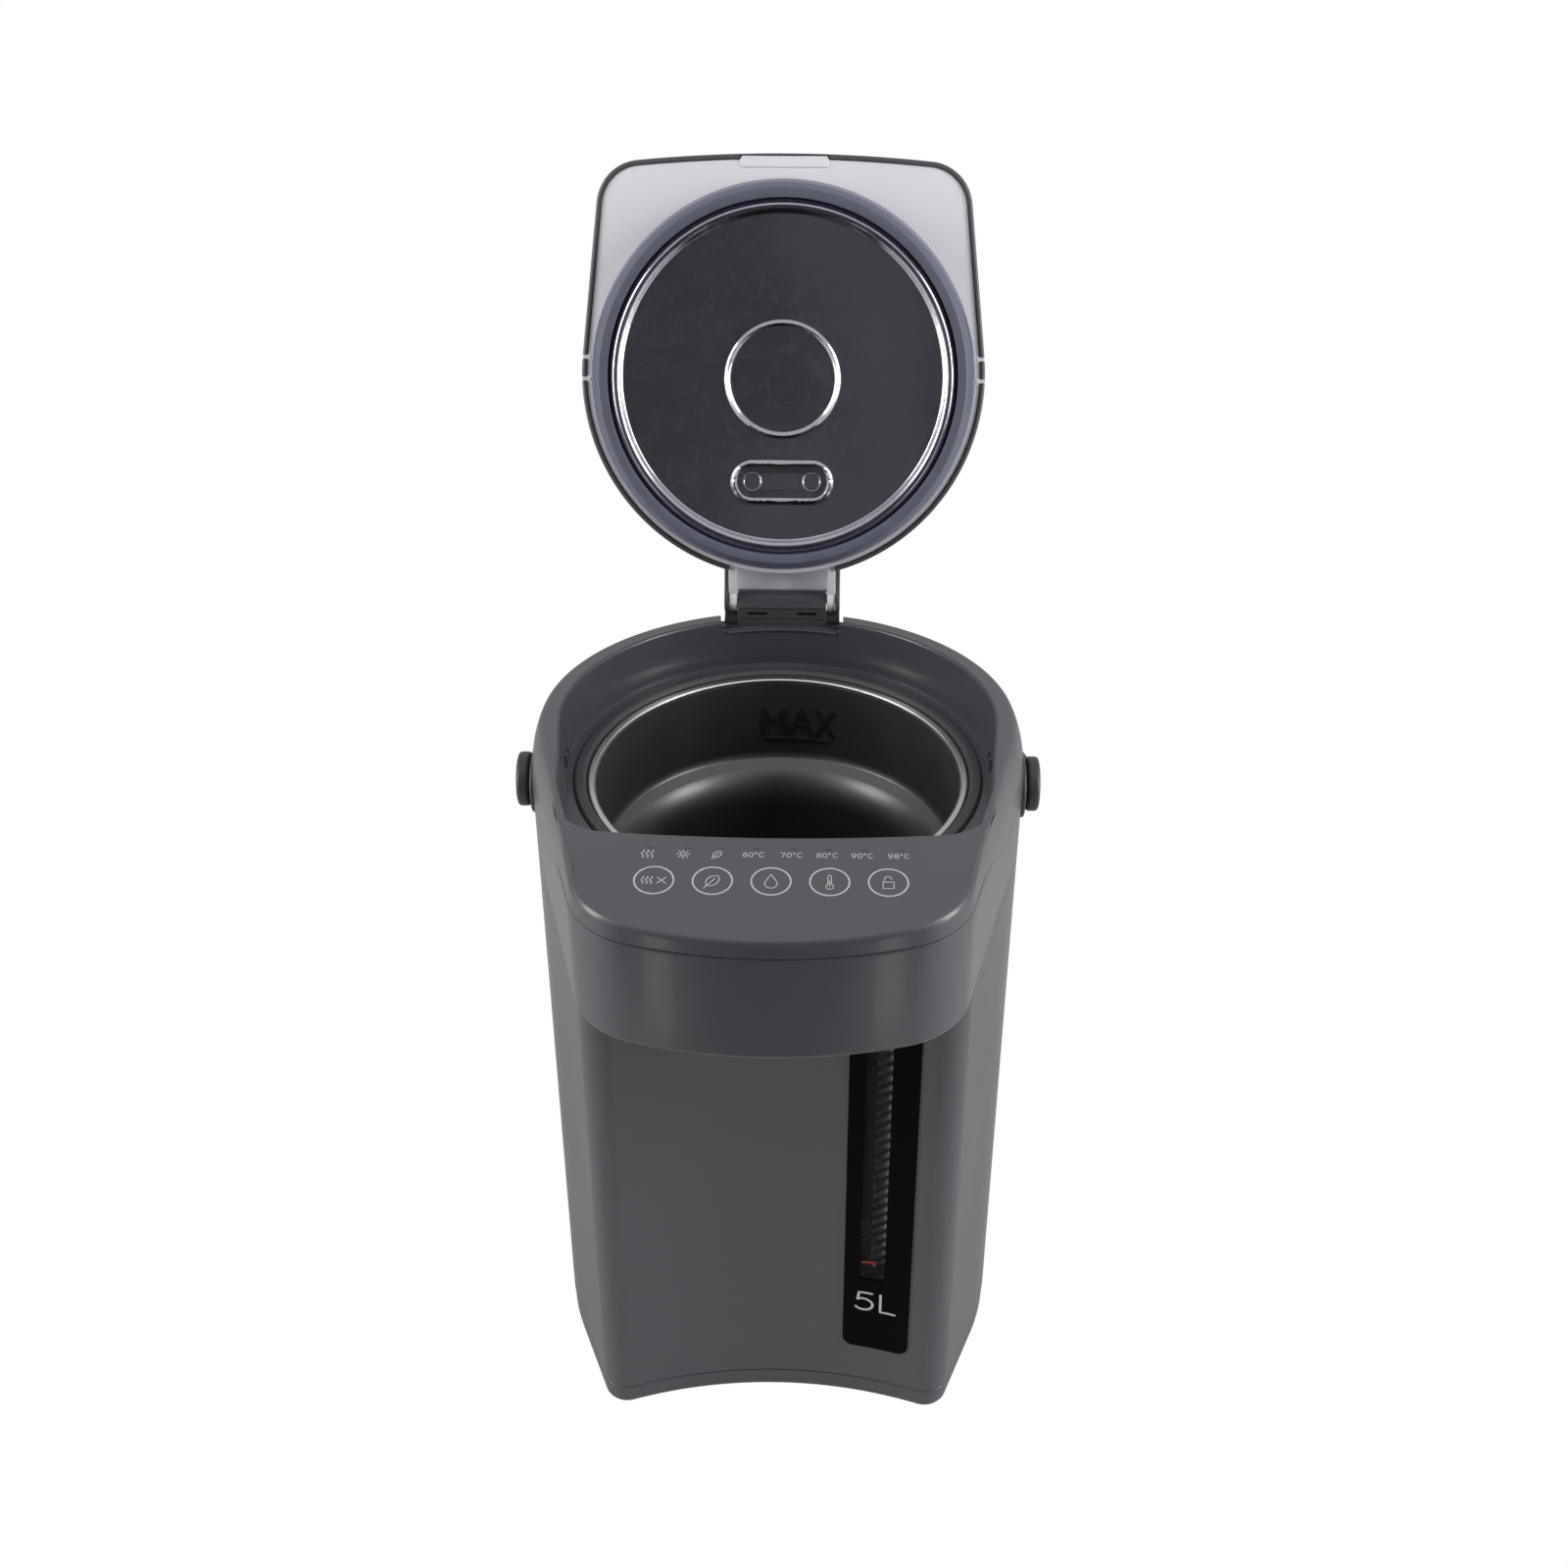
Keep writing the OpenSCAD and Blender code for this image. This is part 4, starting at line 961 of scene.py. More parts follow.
def carve(obj: Thing, cutter: Skin, seat: Seat = Seat.FIXED, join: bool = False) -> None:
    """Cuts a skin out of an object, or joins it on.

    Args:
        obj: the object that is cut.
        cutter: the skin, placed as the object's own skin was.
        seat: where the cutter stands.
        join: True to add the skin rather than cut it out.
    """
    tool = bare(f"{obj.name}_cutter", cutter, seat)
    modify(obj, "BOOLEAN", operation="UNION" if join else "DIFFERENCE", solver="EXACT", object=tool)
    bpy.data.objects.remove(tool)


def absorb(target: Thing, other: Thing) -> None:
    """Adds another object's mesh to a target as it is, and removes the other.

    Args:
        target: the object that grows.
        other: the one that goes.
    """
    work = bmesh.new()
    for part in (target, other):
        work.from_mesh(part.data)
    work.to_mesh(target.data)
    work.free()
    bpy.data.objects.remove(other)


@dataclass(frozen=True)
class Look:
    """How a piece is finished, what it replaces and where it rides."""

    finish: Finish
    node: str = ""
    slot: str = ""
    body: str = "root"
    bevel: float = 0.0
    smooth: float = 38.0


def dress(obj: Thing, look: Look) -> None:
    """Eases a piece's edges, shades it, gives it its finish and ties it to its body.

    Args:
        obj: the piece.
        look: what it becomes.
    """
    if look.bevel > 0:
        modify(obj, "BEVEL", width=look.bevel * MM, segments=2, limit_method="ANGLE",
                 angle_limit=radians(34), miter_outer="MITER_ARC", use_clamp_overlap=True)
    obj.data.shade_smooth()
    obj.data.set_sharp_from_angle(angle=radians(look.smooth))
    modify(obj, "WEIGHTED_NORMAL", keep_sharp=True, weight=60)
    obj.data.materials.clear()
    obj.data.materials.append(material(look.finish))
    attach(obj, look.body)
    if look.node:
        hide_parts(look.node)
    LOG.info("piece %s: %d vertices, %s", obj.name, len(obj.data.vertices), look.finish.name)


def piece(name: str, skin: Skin, look: Look, seat: Seat = Seat.FIXED) -> None:
    """Makes one dressed piece from a skin."""
    dress(bare(name, skin, seat), look)


# ---- geometry node trees


class Growth:
    """Builds one Geometry Nodes tree with named inputs, ending in real geometry of one finish."""

    def __init__(self, name: str, **inputs: tuple[str, object]) -> None:
        """Starts the tree.

        Args:
            name: the tree's name.
            inputs: each named input's socket type and value, with underscores for spaces.
        """
        self.tree = bpy.data.node_groups.new(name, "GeometryNodeTree")
        for way in ("INPUT", "OUTPUT"):
            self.tree.interface.new_socket("Geometry", in_out=way, socket_type="NodeSocketGeometry")
        self.values = {label: value for label, (_, value) in inputs.items()}
        for label, (kind, _) in inputs.items():
            self.tree.interface.new_socket(label.replace("_", " "), in_out="INPUT", socket_type=f"NodeSocket{kind}")
        self.given = self.tree.nodes.new("NodeGroupInput").outputs

    def node(self, kind: str, sockets: dict, **settings: object) -> bpy.types.NodeOutputs:
        """Adds a node of any type, named in full if it is a Function node, and hands back its outputs."""
        kind = kind if kind.startswith("Function") else f"GeometryNode{kind}"
        return add_node(self.tree, kind, sockets, settings).outputs

    def aim(self) -> Socket:
        """A rotation that brings Z along each vertex's facing."""
        facing = self.node("InputNamedAttribute", {"Name": "facing"}, data_type="FLOAT_VECTOR")
        return self.node("FunctionNodeAlignRotationToVector", {"Vector": facing["Attribute"]}, axis="Z")["Rotation"]

    def sweep(self, path: Socket, section: Socket) -> Socket:
        """A section swept along a curve, its ends closed."""
        swept = self.node("CurveToMesh", {"Curve": path, "Profile Curve": section, "Fill Caps": True})
        return swept["Mesh"]

    def plant(self, part: Socket, rotation: Socket) -> "Growth":
        """Ends the tree in copies of a part, one turned at every vertex."""
        copies = self.node("InstanceOnPoints", {"Points": self.given["Geometry"], "Instance": part,
                                                "Rotation": rotation})
        return self.finish(copies["Instances"])

    def finish(self, geometry: Socket) -> "Growth":
        """Ends the tree in Realize Instances, Set Material and the group's output.

        Args:
            geometry: what was grown.

        Returns:
            The tree.
        """
        real = self.node("RealizeInstances", {"Geometry": geometry})
        painted = self.node("SetMaterial", {"Geometry": real["Geometry"], "Material": self.given["Finish"]})
        self.tree.links.new(painted["Geometry"], self.tree.nodes.new("NodeGroupOutput").inputs[0])
        return self

    def apply(self, obj: Thing, **changes: object) -> Thing:
        """Runs the tree on an object and bakes the result into its mesh.

        Args:
            obj: the object whose mesh goes in.
            changes: values of named inputs, with underscores for spaces.

        Returns:
            The same object.
        """
        grow = obj.modifiers.new("grow", "NODES")
        grow.node_group = self.tree
        chosen = {label.replace("_", " "): value for label, value in {**self.values, **changes}.items()}
        for item in self.tree.interface.items_tree:
            if item.in_out == "INPUT" and item.name in chosen:
                grow[item.identifier] = chosen[item.name]
        return baked(obj)


def repeat_tree() -> Growth:
    """Copies a part to every vertex, its Z axis along the vertex's facing, with a seeded turn."""
    made = Growth("repeat_part", Part=("Object", None), Seed=("Int", 3), Most_Turn=("Float", 0.0),
                  Finish=("Material", None))
    part = made.node("ObjectInfo", {"Object": made.given["Part"], "As Instance": True},
                     transform_space="ORIGINAL")
    chance = made.node("FunctionNodeRandomValue", {"Seed": made.given["Seed"], 2: 0.0, 3: made.given["Most Turn"]},
                       data_type="FLOAT")
    spin = made.node("FunctionNodeAxisAngleToRotation", {"Axis": (0.0, 0.0, 1.0), "Angle": chance[1]})
    turn = made.node("FunctionNodeRotateRotation", {"Rotation": made.aim(), "Rotate By": spin["Rotation"]},
                     rotation_space="LOCAL")
    return made.plant(part["Geometry"], turn["Rotation"])


def coil_tree() -> Growth:
    """Winds a spring at every vertex, along the vertex's facing."""
    made = Growth("coil_spring", Coil_Radius=("Float", 0.005), Wire_Radius=("Float", 0.0004),
                  Length=("Float", 0.006), Turns=("Float", 5.0), Finish=("Material", None))
    radius = made.given["Coil Radius"]
    line = made.node("CurveSpiral", {"Resolution": 28, "Rotations": made.given["Turns"], "Start Radius": radius,
                                     "End Radius": radius, "Height": made.given["Length"]})
    wire = made.node("CurvePrimitiveCircle", {"Resolution": 10, "Radius": made.given["Wire Radius"]}, mode="RADIUS")
    return made.plant(made.sweep(line["Curve"], wire["Curve"]), made.aim())


def strap_tree() -> Growth:
    """Sweeps a flat strap with rounded edges along a chain of vertices."""
    made = Growth("swept_strap", Thickness=("Float", 0.0058), Height=("Float", 0.014),
                  Edge_Radius=("Float", 0.0018), Finish=("Material", None))
    path = made.node("MeshToCurve", {"Mesh": made.given["Geometry"]})
    upright = made.node("SetCurveNormal", {"Curve": path["Curve"]}, mode="Z_UP")
    section = made.node("CurvePrimitiveQuadrilateral", {"Width": made.given["Thickness"],
                                                        "Height": made.given["Height"]}, mode="RECTANGLE")
    rounded = made.node("FilletCurve", {"Curve": section["Curve"], "Radius": made.given["Edge Radius"], "Count": 4},
                        mode="POLY")
    return made.finish(made.sweep(upright["Curve"], rounded["Curve"]))


def spots(name: str, places: Sequence[Point], facings: Sequence[Point] | Point,
          seat: Seat = Seat.FIXED) -> Thing:
    """An object of loose vertices, each with the way it faces.

    Args:
        name: the object's name.
        places: points in millimetres about the pot's axis.
        facings: one direction for all points, or one for each.
        seat: where they stand at rest.

    Returns:
        The object.
    """
    move = seat.matrix()
    mesh = bpy.data.meshes.new(name)
    mesh.from_pydata([tuple((move @ Vector(p) + Vector((0, AXIS_Y, 0))) * MM) for p in places], [], [])
    ways = mesh.attributes.new("facing", "FLOAT_VECTOR", "POINT")
    for item, way in zip(ways.data, np.broadcast_to(facings, (len(places), 3))):
        item.vector = move.to_3x3() @ Vector(way)
    return linked(name, mesh)


@dataclass(frozen=True)
class Repeated:
    """A part that is made once and repeated by the repeat tree."""

    name: str
    part: Skin
    places: Sequence[Point]
    facings: Sequence[Point] | Point
    look: Look
    seat: Seat = Seat.FIXED
    most_turn: float = 6.28

    def build(self, tree: Growth) -> None:
        """Grows the copies and dresses them as one piece.

        Args:
            tree: the repeat tree.
        """
        part = bare(f"{self.name}_part", self.part.moved(0, -AXIS_Y, 0))
        made = tree.apply(spots(self.name, self.places, self.facings, self.seat), Part=part,
                          Most_Turn=self.most_turn, Finish=material(self.look.finish))
        bpy.data.objects.remove(part)
        dress(made, self.look)


def screw(head_r: float, head_h: float, shank_r: float, length: float, pitch: float = 0.7) -> Skin:
    """A pan-head screw, its head up and its seat at zero.

    Args:
        head_r: radius of the head.
        head_h: height of the head.
        shank_r: radius of the threaded shank.
        length: length below the head.
        pitch: distance between the ridges that stand for its thread.

    Returns:
        The skin.
    """
    rows = [(0.05, head_h * 0.5), (head_r * 0.3, head_h * 0.5), (head_r * 0.34, head_h * 0.97),
            (head_r * 0.6, head_h), (head_r * 0.86, head_h * 0.8), (head_r, head_h * 0.35), (head_r, 0.0),
            (shank_r, 0.0)]
    for k in range(int(length / pitch)):
        rows += [(shank_r * 0.86, -0.1 - k * pitch), (shank_r, -0.1 - (k + 0.5) * pitch)]
    rows += [(shank_r * 0.5, -length + 0.05), (0.05, -length)]
    return revolve(rows[::-1], 24, closed=False)


# ---- print


def bow(x: float, y: float, wide: float, high: float, start: float = 0.0, end: float = 360.0) -> Path:
    """Points on an ellipse about (x, y), as wide and high to each side as given, between two angles in degrees."""
    return [(x + wide * cos(t), y + high * sin(t)) for t in np.radians(np.linspace(start, end, 20))]


def turned(path: Path, degrees: float) -> Path:
    """A path turned about its origin, counter-clockwise."""
    c, s = outward(degrees)
    return [(x * c - y * s, x * s + y * c) for x, y in path]


GLYPHS: dict[str, tuple[float, list[Path]]] = {
    "0": (0.6, [bow(0.3, 0.5, 0.27, 0.5)]),
    "5": (0.6, [[(0.54, 1), (0.12, 1), (0.08, 0.58)], bow(0.27, 0.32, 0.31, 0.33, 128, -142)]),
    "6": (0.6, [bow(0.3, 0.31, 0.27, 0.31), bow(0.55, 0.33, 0.52, 0.67, 180, 96)]),
    "7": (0.6, [[(0.03, 1), (0.57, 1), (0.2, 0)]]),
    "8": (0.6, [bow(0.3, 0.75, 0.22, 0.25), bow(0.3, 0.26, 0.27, 0.26)]),
    "9": (0.6, [bow(0.3, 0.69, 0.27, 0.31), bow(0.05, 0.67, 0.52, 0.67, 0, -84)]),
    "C": (0.66, [bow(0.38, 0.5, 0.33, 0.5, 48, 312)]),
    "o": (0.34, [bow(0.15, 0.85, 0.11, 0.13)]),
    "L": (0.56, [[(0.08, 1), (0.08, 0), (0.56, 0)]]),
    "M": (0.82, [[(0.05, 0), (0.05, 1), (0.4, 0.32), (0.75, 1), (0.75, 0)]]),
    "A": (0.72, [[(0.02, 0), (0.36, 1), (0.7, 0)], [(0.14, 0.34), (0.58, 0.34)]]),
    "X": (0.68, [[(0.03, 1), (0.63, 0)], [(0.63, 1), (0.03, 0)]]),
}

PICTURES: dict[str, list[Path]] = {
    "steam": [[(x + 0.12 * sin(k * 0.9), -0.5 + k * 0.1) for k in range(11)] for x in (-0.42, 0, 0.42)],
    "leaf": [turned(path, -38) for path in (bow(-0.28, 0, 0.68, 0.68, -65, 65),
                                            bow(0.28, 0, 0.68, 0.68, 115, 245), [(0, -0.95), (0, 0.3)])],
    "drop": [bow(0, -0.2, 0.38, 0.4, 150, 390), [(-0.33, 0), (0, 0.62), (0.33, 0)]],
    "gauge": [bow(0, -0.45, 0.24, 0.24, 118, 422), [(-0.11, -0.23), (-0.11, 0.5)],
              bow(0, 0.5, 0.11, 0.13, 180, 0), [(0.11, 0.5), (0.11, -0.23)], [(0, -0.42), (0, 0.1)]],
    "lock": [[(-0.38, -0.6), (0.38, -0.6), (0.38, 0.05), (-0.38, 0.05), (-0.38, -0.62)],
             bow(-0.02, 0.3, 0.26, 0.32, 10, 180) + [(-0.28, 0.05)]],
    "cross": [[(-0.42, -0.42), (0.42, 0.42)], [(-0.42, 0.42), (0.42, -0.42)]],
    "heat": [bow(0, 0, 0.26, 0.26)] + [[tuple(0.42 * outward(a)), tuple(0.64 * outward(a))]
                                          for a in range(0, 360, 45)],
    "ring": [bow(0, 0, 1, 1)],
}


class Ground(Enum):
    """Surfaces that print lies on: the control panel, the gauge's face and the pot's rear wall."""

    PANEL = "panel"
    GAUGE = "gauge"
    WELL = "well"

    def point(self, plan: Rows, lift: float) -> Rows:
        """Points at a height above the surface, for rows of places sideways and up the print.

        Args:
            plan: the rows.
            lift: the height.

        Returns:
            The points.
        """
        u, v = plan.T
        if self is Ground.PANEL:
            return np.column_stack([u, v, roof_height(v) + lift])
        if self is Ground.GAUGE:
            reach = BODY.hollow_r - Gauge.face - lift
            return np.column_stack([u, BODY.hollow_middle + np.sqrt(reach ** 2 - u * u), v])
        turn = u / Pot.mouth_r
        return np.column_stack([(Pot.mouth_r - lift) * np.sin(turn), (Pot.mouth_r - lift) * np.cos(turn), v])


@dataclass(frozen=True)
class Pen:
    """Draws strokes as thin raised ribbons on a surface."""

    ground: Ground
    width: float
    raised: float = 0.07

    def stroke(self, path: Path) -> Skin:
        """One ribbon, with round ends unless it closes.

        Args:
            path: its points on the surface.

        Returns:
            The ribbon.
        """
        rows = [np.array(path[0], float)]
        for end in np.array(path[1:], float):
            gap = end - rows[-1]
            steps = max(1, int(np.hypot(*gap) / max(self.width * 0.8, 0.5)))
            rows += [rows[-1] + gap * (k + 1) / steps for k in range(steps)]
        line = np.array(rows)
        along = np.gradient(line, axis=0)
        along /= np.linalg.norm(along, axis=1, keepdims=True) + 1e-9
        left = np.stack([-along[:, 1], along[:, 0]], 1)
        half = self.width / 2
        tips = () if np.allclose(line[0], line[-1]) else ((1.0, 0.35), (0.72, 0.72))
        stops = [(line[0] - along[0] * half * back, left[0], half * wide) for back, wide in tips]
        stops += [(point, side, half) for point, side in zip(line, left)]
        stops += [(line[-1] + along[-1] * half * on, left[-1], half * wide) for on, wide in tips[::-1]]
        rings = []
        for point, side, reach in stops:
            low = np.array([point - side * reach, point + side * reach])
            top = np.array([point + side * reach * 0.86, point - side * reach * 0.86])
            rings.append(np.vstack([self.ground.point(low, -0.15), self.ground.point(top, self.raised)]))
        return loft(rings)

    def write(self, text: str, x: float, y: float, height: float, stretch: float = 1.0) -> Skin:
        """A line of glyphs centred on a place.

        Args:
            text: the characters, each in the glyph table.
            x: the middle.
            y: the foot of the line.
            height: height of a capital.
            stretch: factor on the widths.

        Returns:
            The ribbons.
        """
        gap = 0.16
        place, ribbons = -(sum(GLYPHS[c][0] + gap for c in text) - gap) / 2, []
        for width, paths in (GLYPHS[c] for c in text):
            for path in paths:
                ribbons.append(self.stroke([(x + (place + a) * height * stretch, y + b * height) for a, b in path]))
            place += width + gap
        return sum(ribbons)

    def draw(self, picture: str, x: float, y: float, size: float) -> Skin:
        """A pictogram from the picture table, centred on (x, y) and half as high as size."""
        return sum(self.stroke([(x + a * size, y + b * size) for a, b in path]) for path in PICTURES[picture])


# ---- body


@dataclass
class Shell:
    """The moulded body with its beak, and the base it stands on."""

    size: BodySize = BODY
    lower_edge: float = 2.2
    window_x: float = 49.5
    window_half: float = 16.0
    window_low: float = 38.0
    screws: tuple[tuple[float, float], ...] = ((79, 66), (-79, 66), (87, -61), (-87, -61))

    def _body_tube(self) -> Skin:
        """The tall hollow-fronted tube, its foot eased and its top hidden in the beak."""
        outside = [(1, 13.6), (0.45, 13.75), (0.12, 14.1), (0, 14.7)]
        outside += [(0, height) for height in (60, 120, 180, 240, self.size.beak_z)]
        inside = [(self.size.wall, height) for height in (self.size.beak_z, 200, 100, 13.6)]
        return loft(stack(hollow_plan, outside + inside), closed=True)

    def _beak_tube(self) -> Skin:
        """The beak's side walls, with a soft lower edge that fades out where they meet the round back."""
        outer, low = cap_plan(0), self.size.beak_z
        ahead = np.clip((-outer[:, 1] - 28) / 34, 0, 1)
        ease = (ahead * ahead * (3 - 2 * ahead))[:, None]
        rings = []
        for near, along in rounding(np.linspace(0, 90, 7)):
            plan = outer * (1 - ease) + cap_plan(self.lower_edge * near) * ease
            rings.append(ring(plan, low + ease[:, 0] * self.lower_edge * along))
        top, start = seam_height(outer[:, 1]) - 0.4, rings[-1][:, 2]
        for share in (0.25, 0.5, 0.75, 0.97, 1):
            rings.append(ring(outer if share < 1 else cap_plan(0.35), start + (top - start) * share))
        inner = cap_plan(self.size.wall)
        rise = seam_height(inner[:, 1]) - 0.4 - low
        rings += [ring(inner, low + rise * share) for share in (1, 0.5, 0)]
        return loft(rings, closed=True)

    def _neck_bulge(self) -> Skin:
        """The swelling of the front wall round the pot's wide neck, just under the beak."""
        profile = [(74.5, 254), (76.6, 258), (79, 262), (81.2, 265.5), (83, 269), (84.6, 272.5), (85.6, 276),
                   (86.2, 279.5), (86.5, 283), (86.5, 301)]
        turn = np.radians(np.linspace(-90 - 24.5, -90 + 24.5, 49))
        way = np.stack([np.cos(turn), np.sin(turn)], 1)
        return loft([ring(np.vstack([way * r, way[::-1] * (r - 2.4)]), z) for r, z in profile])

    def _window(self) -> Skin:
        """The prism that cuts the gauge window."""
        left, right = self.window_x - self.window_half, self.window_x + self.window_half
        low, top = self.window_low, self.size.beak_z - 1
        outline = softened([(left, low, 5), (right, low, 5), (right, top), (left, top)], 8)
        return slab(outline, -110, -60, 0.01, "Y")

    def build(self) -> None:
        """Makes the body and its base."""
        shell = bare("body_shell", self._body_tube())
        carve(shell, self._window())
        carve(shell, box((-20, 96, 23), (20, 120, 57), 4, 0.01, "Y"))
        posts = sum(slab(disc(5, 32, at), 13.8, 35.3, 0.4) for at in self.screws)
        ledge = loft(stack(cap_plan, ((2.4, 304), (2.4, 306), (5, 306), (5, 304))), closed=True)
        absorb(shell, bare("posts", posts + ledge + self._beak_tube() + self._neck_bulge()))
        dress(shell, Look(Finish.SHELL, "outer_shell", "shell_grey", smooth=42))
        wall = ((4.6, 4.6), (4.6, 2), (2.4, 2), (1.2, 2.4), (0.6, 3.4), (0.4, 4.8), (0.4, 9), (0.4, 12.3),
                (0.6, 12.9), (1.2, self.size.seam_z), (2.7, self.size.seam_z), (2.7, 18), (3, 18.3), (4.2, 18.3),
                (4.5, 18), (4.6, 12))
        base = bare("base", loft(stack(hollow_plan, ((4.4, 2), (4.4, 4.6)))))
        carve(base, sum(box((i * 8 - 1.5, 20, 0), (i * 8 + 1.5, 66, 8), 1.4, 0.01) for i in range(-3, 4)))
        absorb(base, bare("base_wall", loft(stack(hollow_plan, wall), closed=True)))
        dress(base, Look(Finish.SHELL, "base_tray", "shell_grey"))


# ---- head


def inward(plan: Rows) -> Rows:
    """Unit vectors that point into an outline.

    Args:
        plan: the outline.

    Returns:
        A vector for each of its points.
    """
    along = np.roll(plan, -1, 0) - np.roll(plan, 1, 0)
    along /= np.linalg.norm(along, axis=1, keepdims=True)
    return np.stack([-along[:, 1], along[:, 0]], 1)


def on_roof(plan: Rows, drop: float = 0.0) -> Rows:
    """A ring on the head's roof, or some way under it."""
    return ring(plan, roof_height(plan[:, 1]) - drop)


@dataclass
class Head:
    """The top moulding: collar, lid recess and control panel."""

    size: BodySize = BODY
    rise: float = 29.5
    brow: float = 2.6
    lip: float = 1.3

    def _leaning(self, level: Rows) -> Rows:
        """Places on the head's outside, whose walls lean in more the higher they are.

        Args:
            level: the height above the low seam, along the lean, for each outline point.

        Returns:
            (x, y) rows.
        """
        heights, sides, beak = np.transpose([(0, 0, 0), (2, 0, 0), (12, 0.5, 0.1), (19, 1.7, 0.5),
                                             (25, 3.4, 1.2), (self.rise, 5.4, 2.4)])
        plans = np.stack([cap_plan(float(np.interp(s, heights, sides)), float(np.interp(s, heights, beak)))
                          for s in np.linspace(0, self.rise, 33)])
        place = np.clip(level / self.rise * 32, 0, 31.999)
        low = place.astype(int)
        share = (place - low)[:, None]
        index = np.arange(plans.shape[1])
        return plans[low, index] * (1 - share) + plans[low + 1, index] * share

    def _outside(self) -> list[Rows]:
        """Rings up the outside of the head and over its rounded brow."""
        slope = tan(radians(self.size.collar_lean))
        base, foot = cap_plan(0), self.size.seam_low
        seam = seam_height(base[:, 1])
        low = seam - foot + base[:, 1] * slope
        high = np.full(len(base), self.rise)
        for _ in range(4):
            edge_y = self._leaning(high)[:, 1]
            high = roof_height(edge_y) - foot + edge_y * slope
        brow = self.brow * (0.62 + 0.38 * np.clip((-base[:, 1] - 60) / 60, 0, 1))
        rings = [ring(base * 0.9968, seam), ring(base * 0.9988, seam + 0.12), ring(base, seam + 0.45)]
        for share in np.linspace(0.08, 1, 12):
            level = low + (high - brow - low) * share
            plan = self._leaning(level)
            rings.append(ring(plan, np.maximum(foot + level - plan[:, 1] * slope, seam + 0.5)))
        start, edge = rings[-1], self._leaning(high)
        corner, end = on_roof(edge), on_roof(edge + inward(edge) * brow[:, None])
        for t in np.linspace(0, 1, 9)[1:]:
            rings.append(start * (1 - t) ** 2 + corner * 2 * t * (1 - t) + end * t * t)
        return rings

    def _moulding(self) -> Skin:
        """The whole walled moulding."""
        rings, floor = self._outside(), self.size.recess_z
        edge, mouth = rings[-1][:, :2], lid_plan(LIDS.gap)
        lip = inward(mouth) * self.lip
        rings += [on_roof(edge * (1 - share) + (mouth - lip) * share) for share in np.linspace(0, 1, 26)[1:]]
        rings += [on_roof(mouth - lip * near, self.lip * along) for near, along in rounding((22, 45, 68, 90))]
        top = rings[-1][:, 2]
        rings += [ring(mouth, top + (floor + 0.9 - top) * share) for share in (0.25, 0.5, 0.75, 1)]
        rings += stack(lid_plan, ((LIDS.gap - 0.3, floor + 0.25), (LIDS.gap - 0.9, floor)))
        unit = mouth / np.linalg.norm(mouth, axis=1, keepdims=True)
        rings += stack(lambda radius: unit * radius,
                       ((92.8, floor), (92.3, floor - 0.3), (92.2, floor - 1), (92.2, floor - 2.5)))
        rings += [ring(lid_plan(4.3), floor - 2.5), on_roof(lid_plan(4.3), 2.5), on_roof(cap_plan(8.4, 4.4), 2.5),
                  ring(cap_plan(8.4, 4.4), 343.5), ring(cap_plan(4.5), 342)]
        for plan, drop in ((cap_plan(4.5), 5), (cap_plan(2.7), 5), (cap_plan(2.7), 0)):
            rings.append(ring(plan, seam_height(plan[:, 1]) - drop))
        return loft(rings, closed=True)

    def build(self) -> None:
        """Makes the head moulding with its notch, ribs and ridge."""
        cap = bare("head_cap", self._moulding())
        across = np.linspace(35.5, -35.5, 36)
        seat = np.vstack([np.column_stack([across, np.sqrt(105.2 ** 2 - across ** 2)]),
                               [(-35.5, 97.2), (35.5, 97.2)]])
        carve(cap, slab(seat, 326.6, 349, 0.05), join=True)
        carve(cap, box((-29.8, 92, 349), (29.8, 124, 385), 0.8, 0.4))
        ribs = sum(box((94.9, y, 328), (97.1, y + 2, 336), 0.5, 0.5, "X") for y in (1, 8))
        section = softened([(95.5, 347.4, 0.4), (97.4, 347.4), (97.4, 348.6), (95.5, 348.6, 0.4)])
        ridge = loft([ring(np.outer(section[:, 0], outward(a)), section[:, 1]) for a in np.linspace(74, 106, 41)])
        absorb(cap, bare("ribs", ribs.paired() + ridge))
        dress(cap, Look(Finish.SHELL, "top_cap", "shell_grey", smooth=42))


# ---- lid


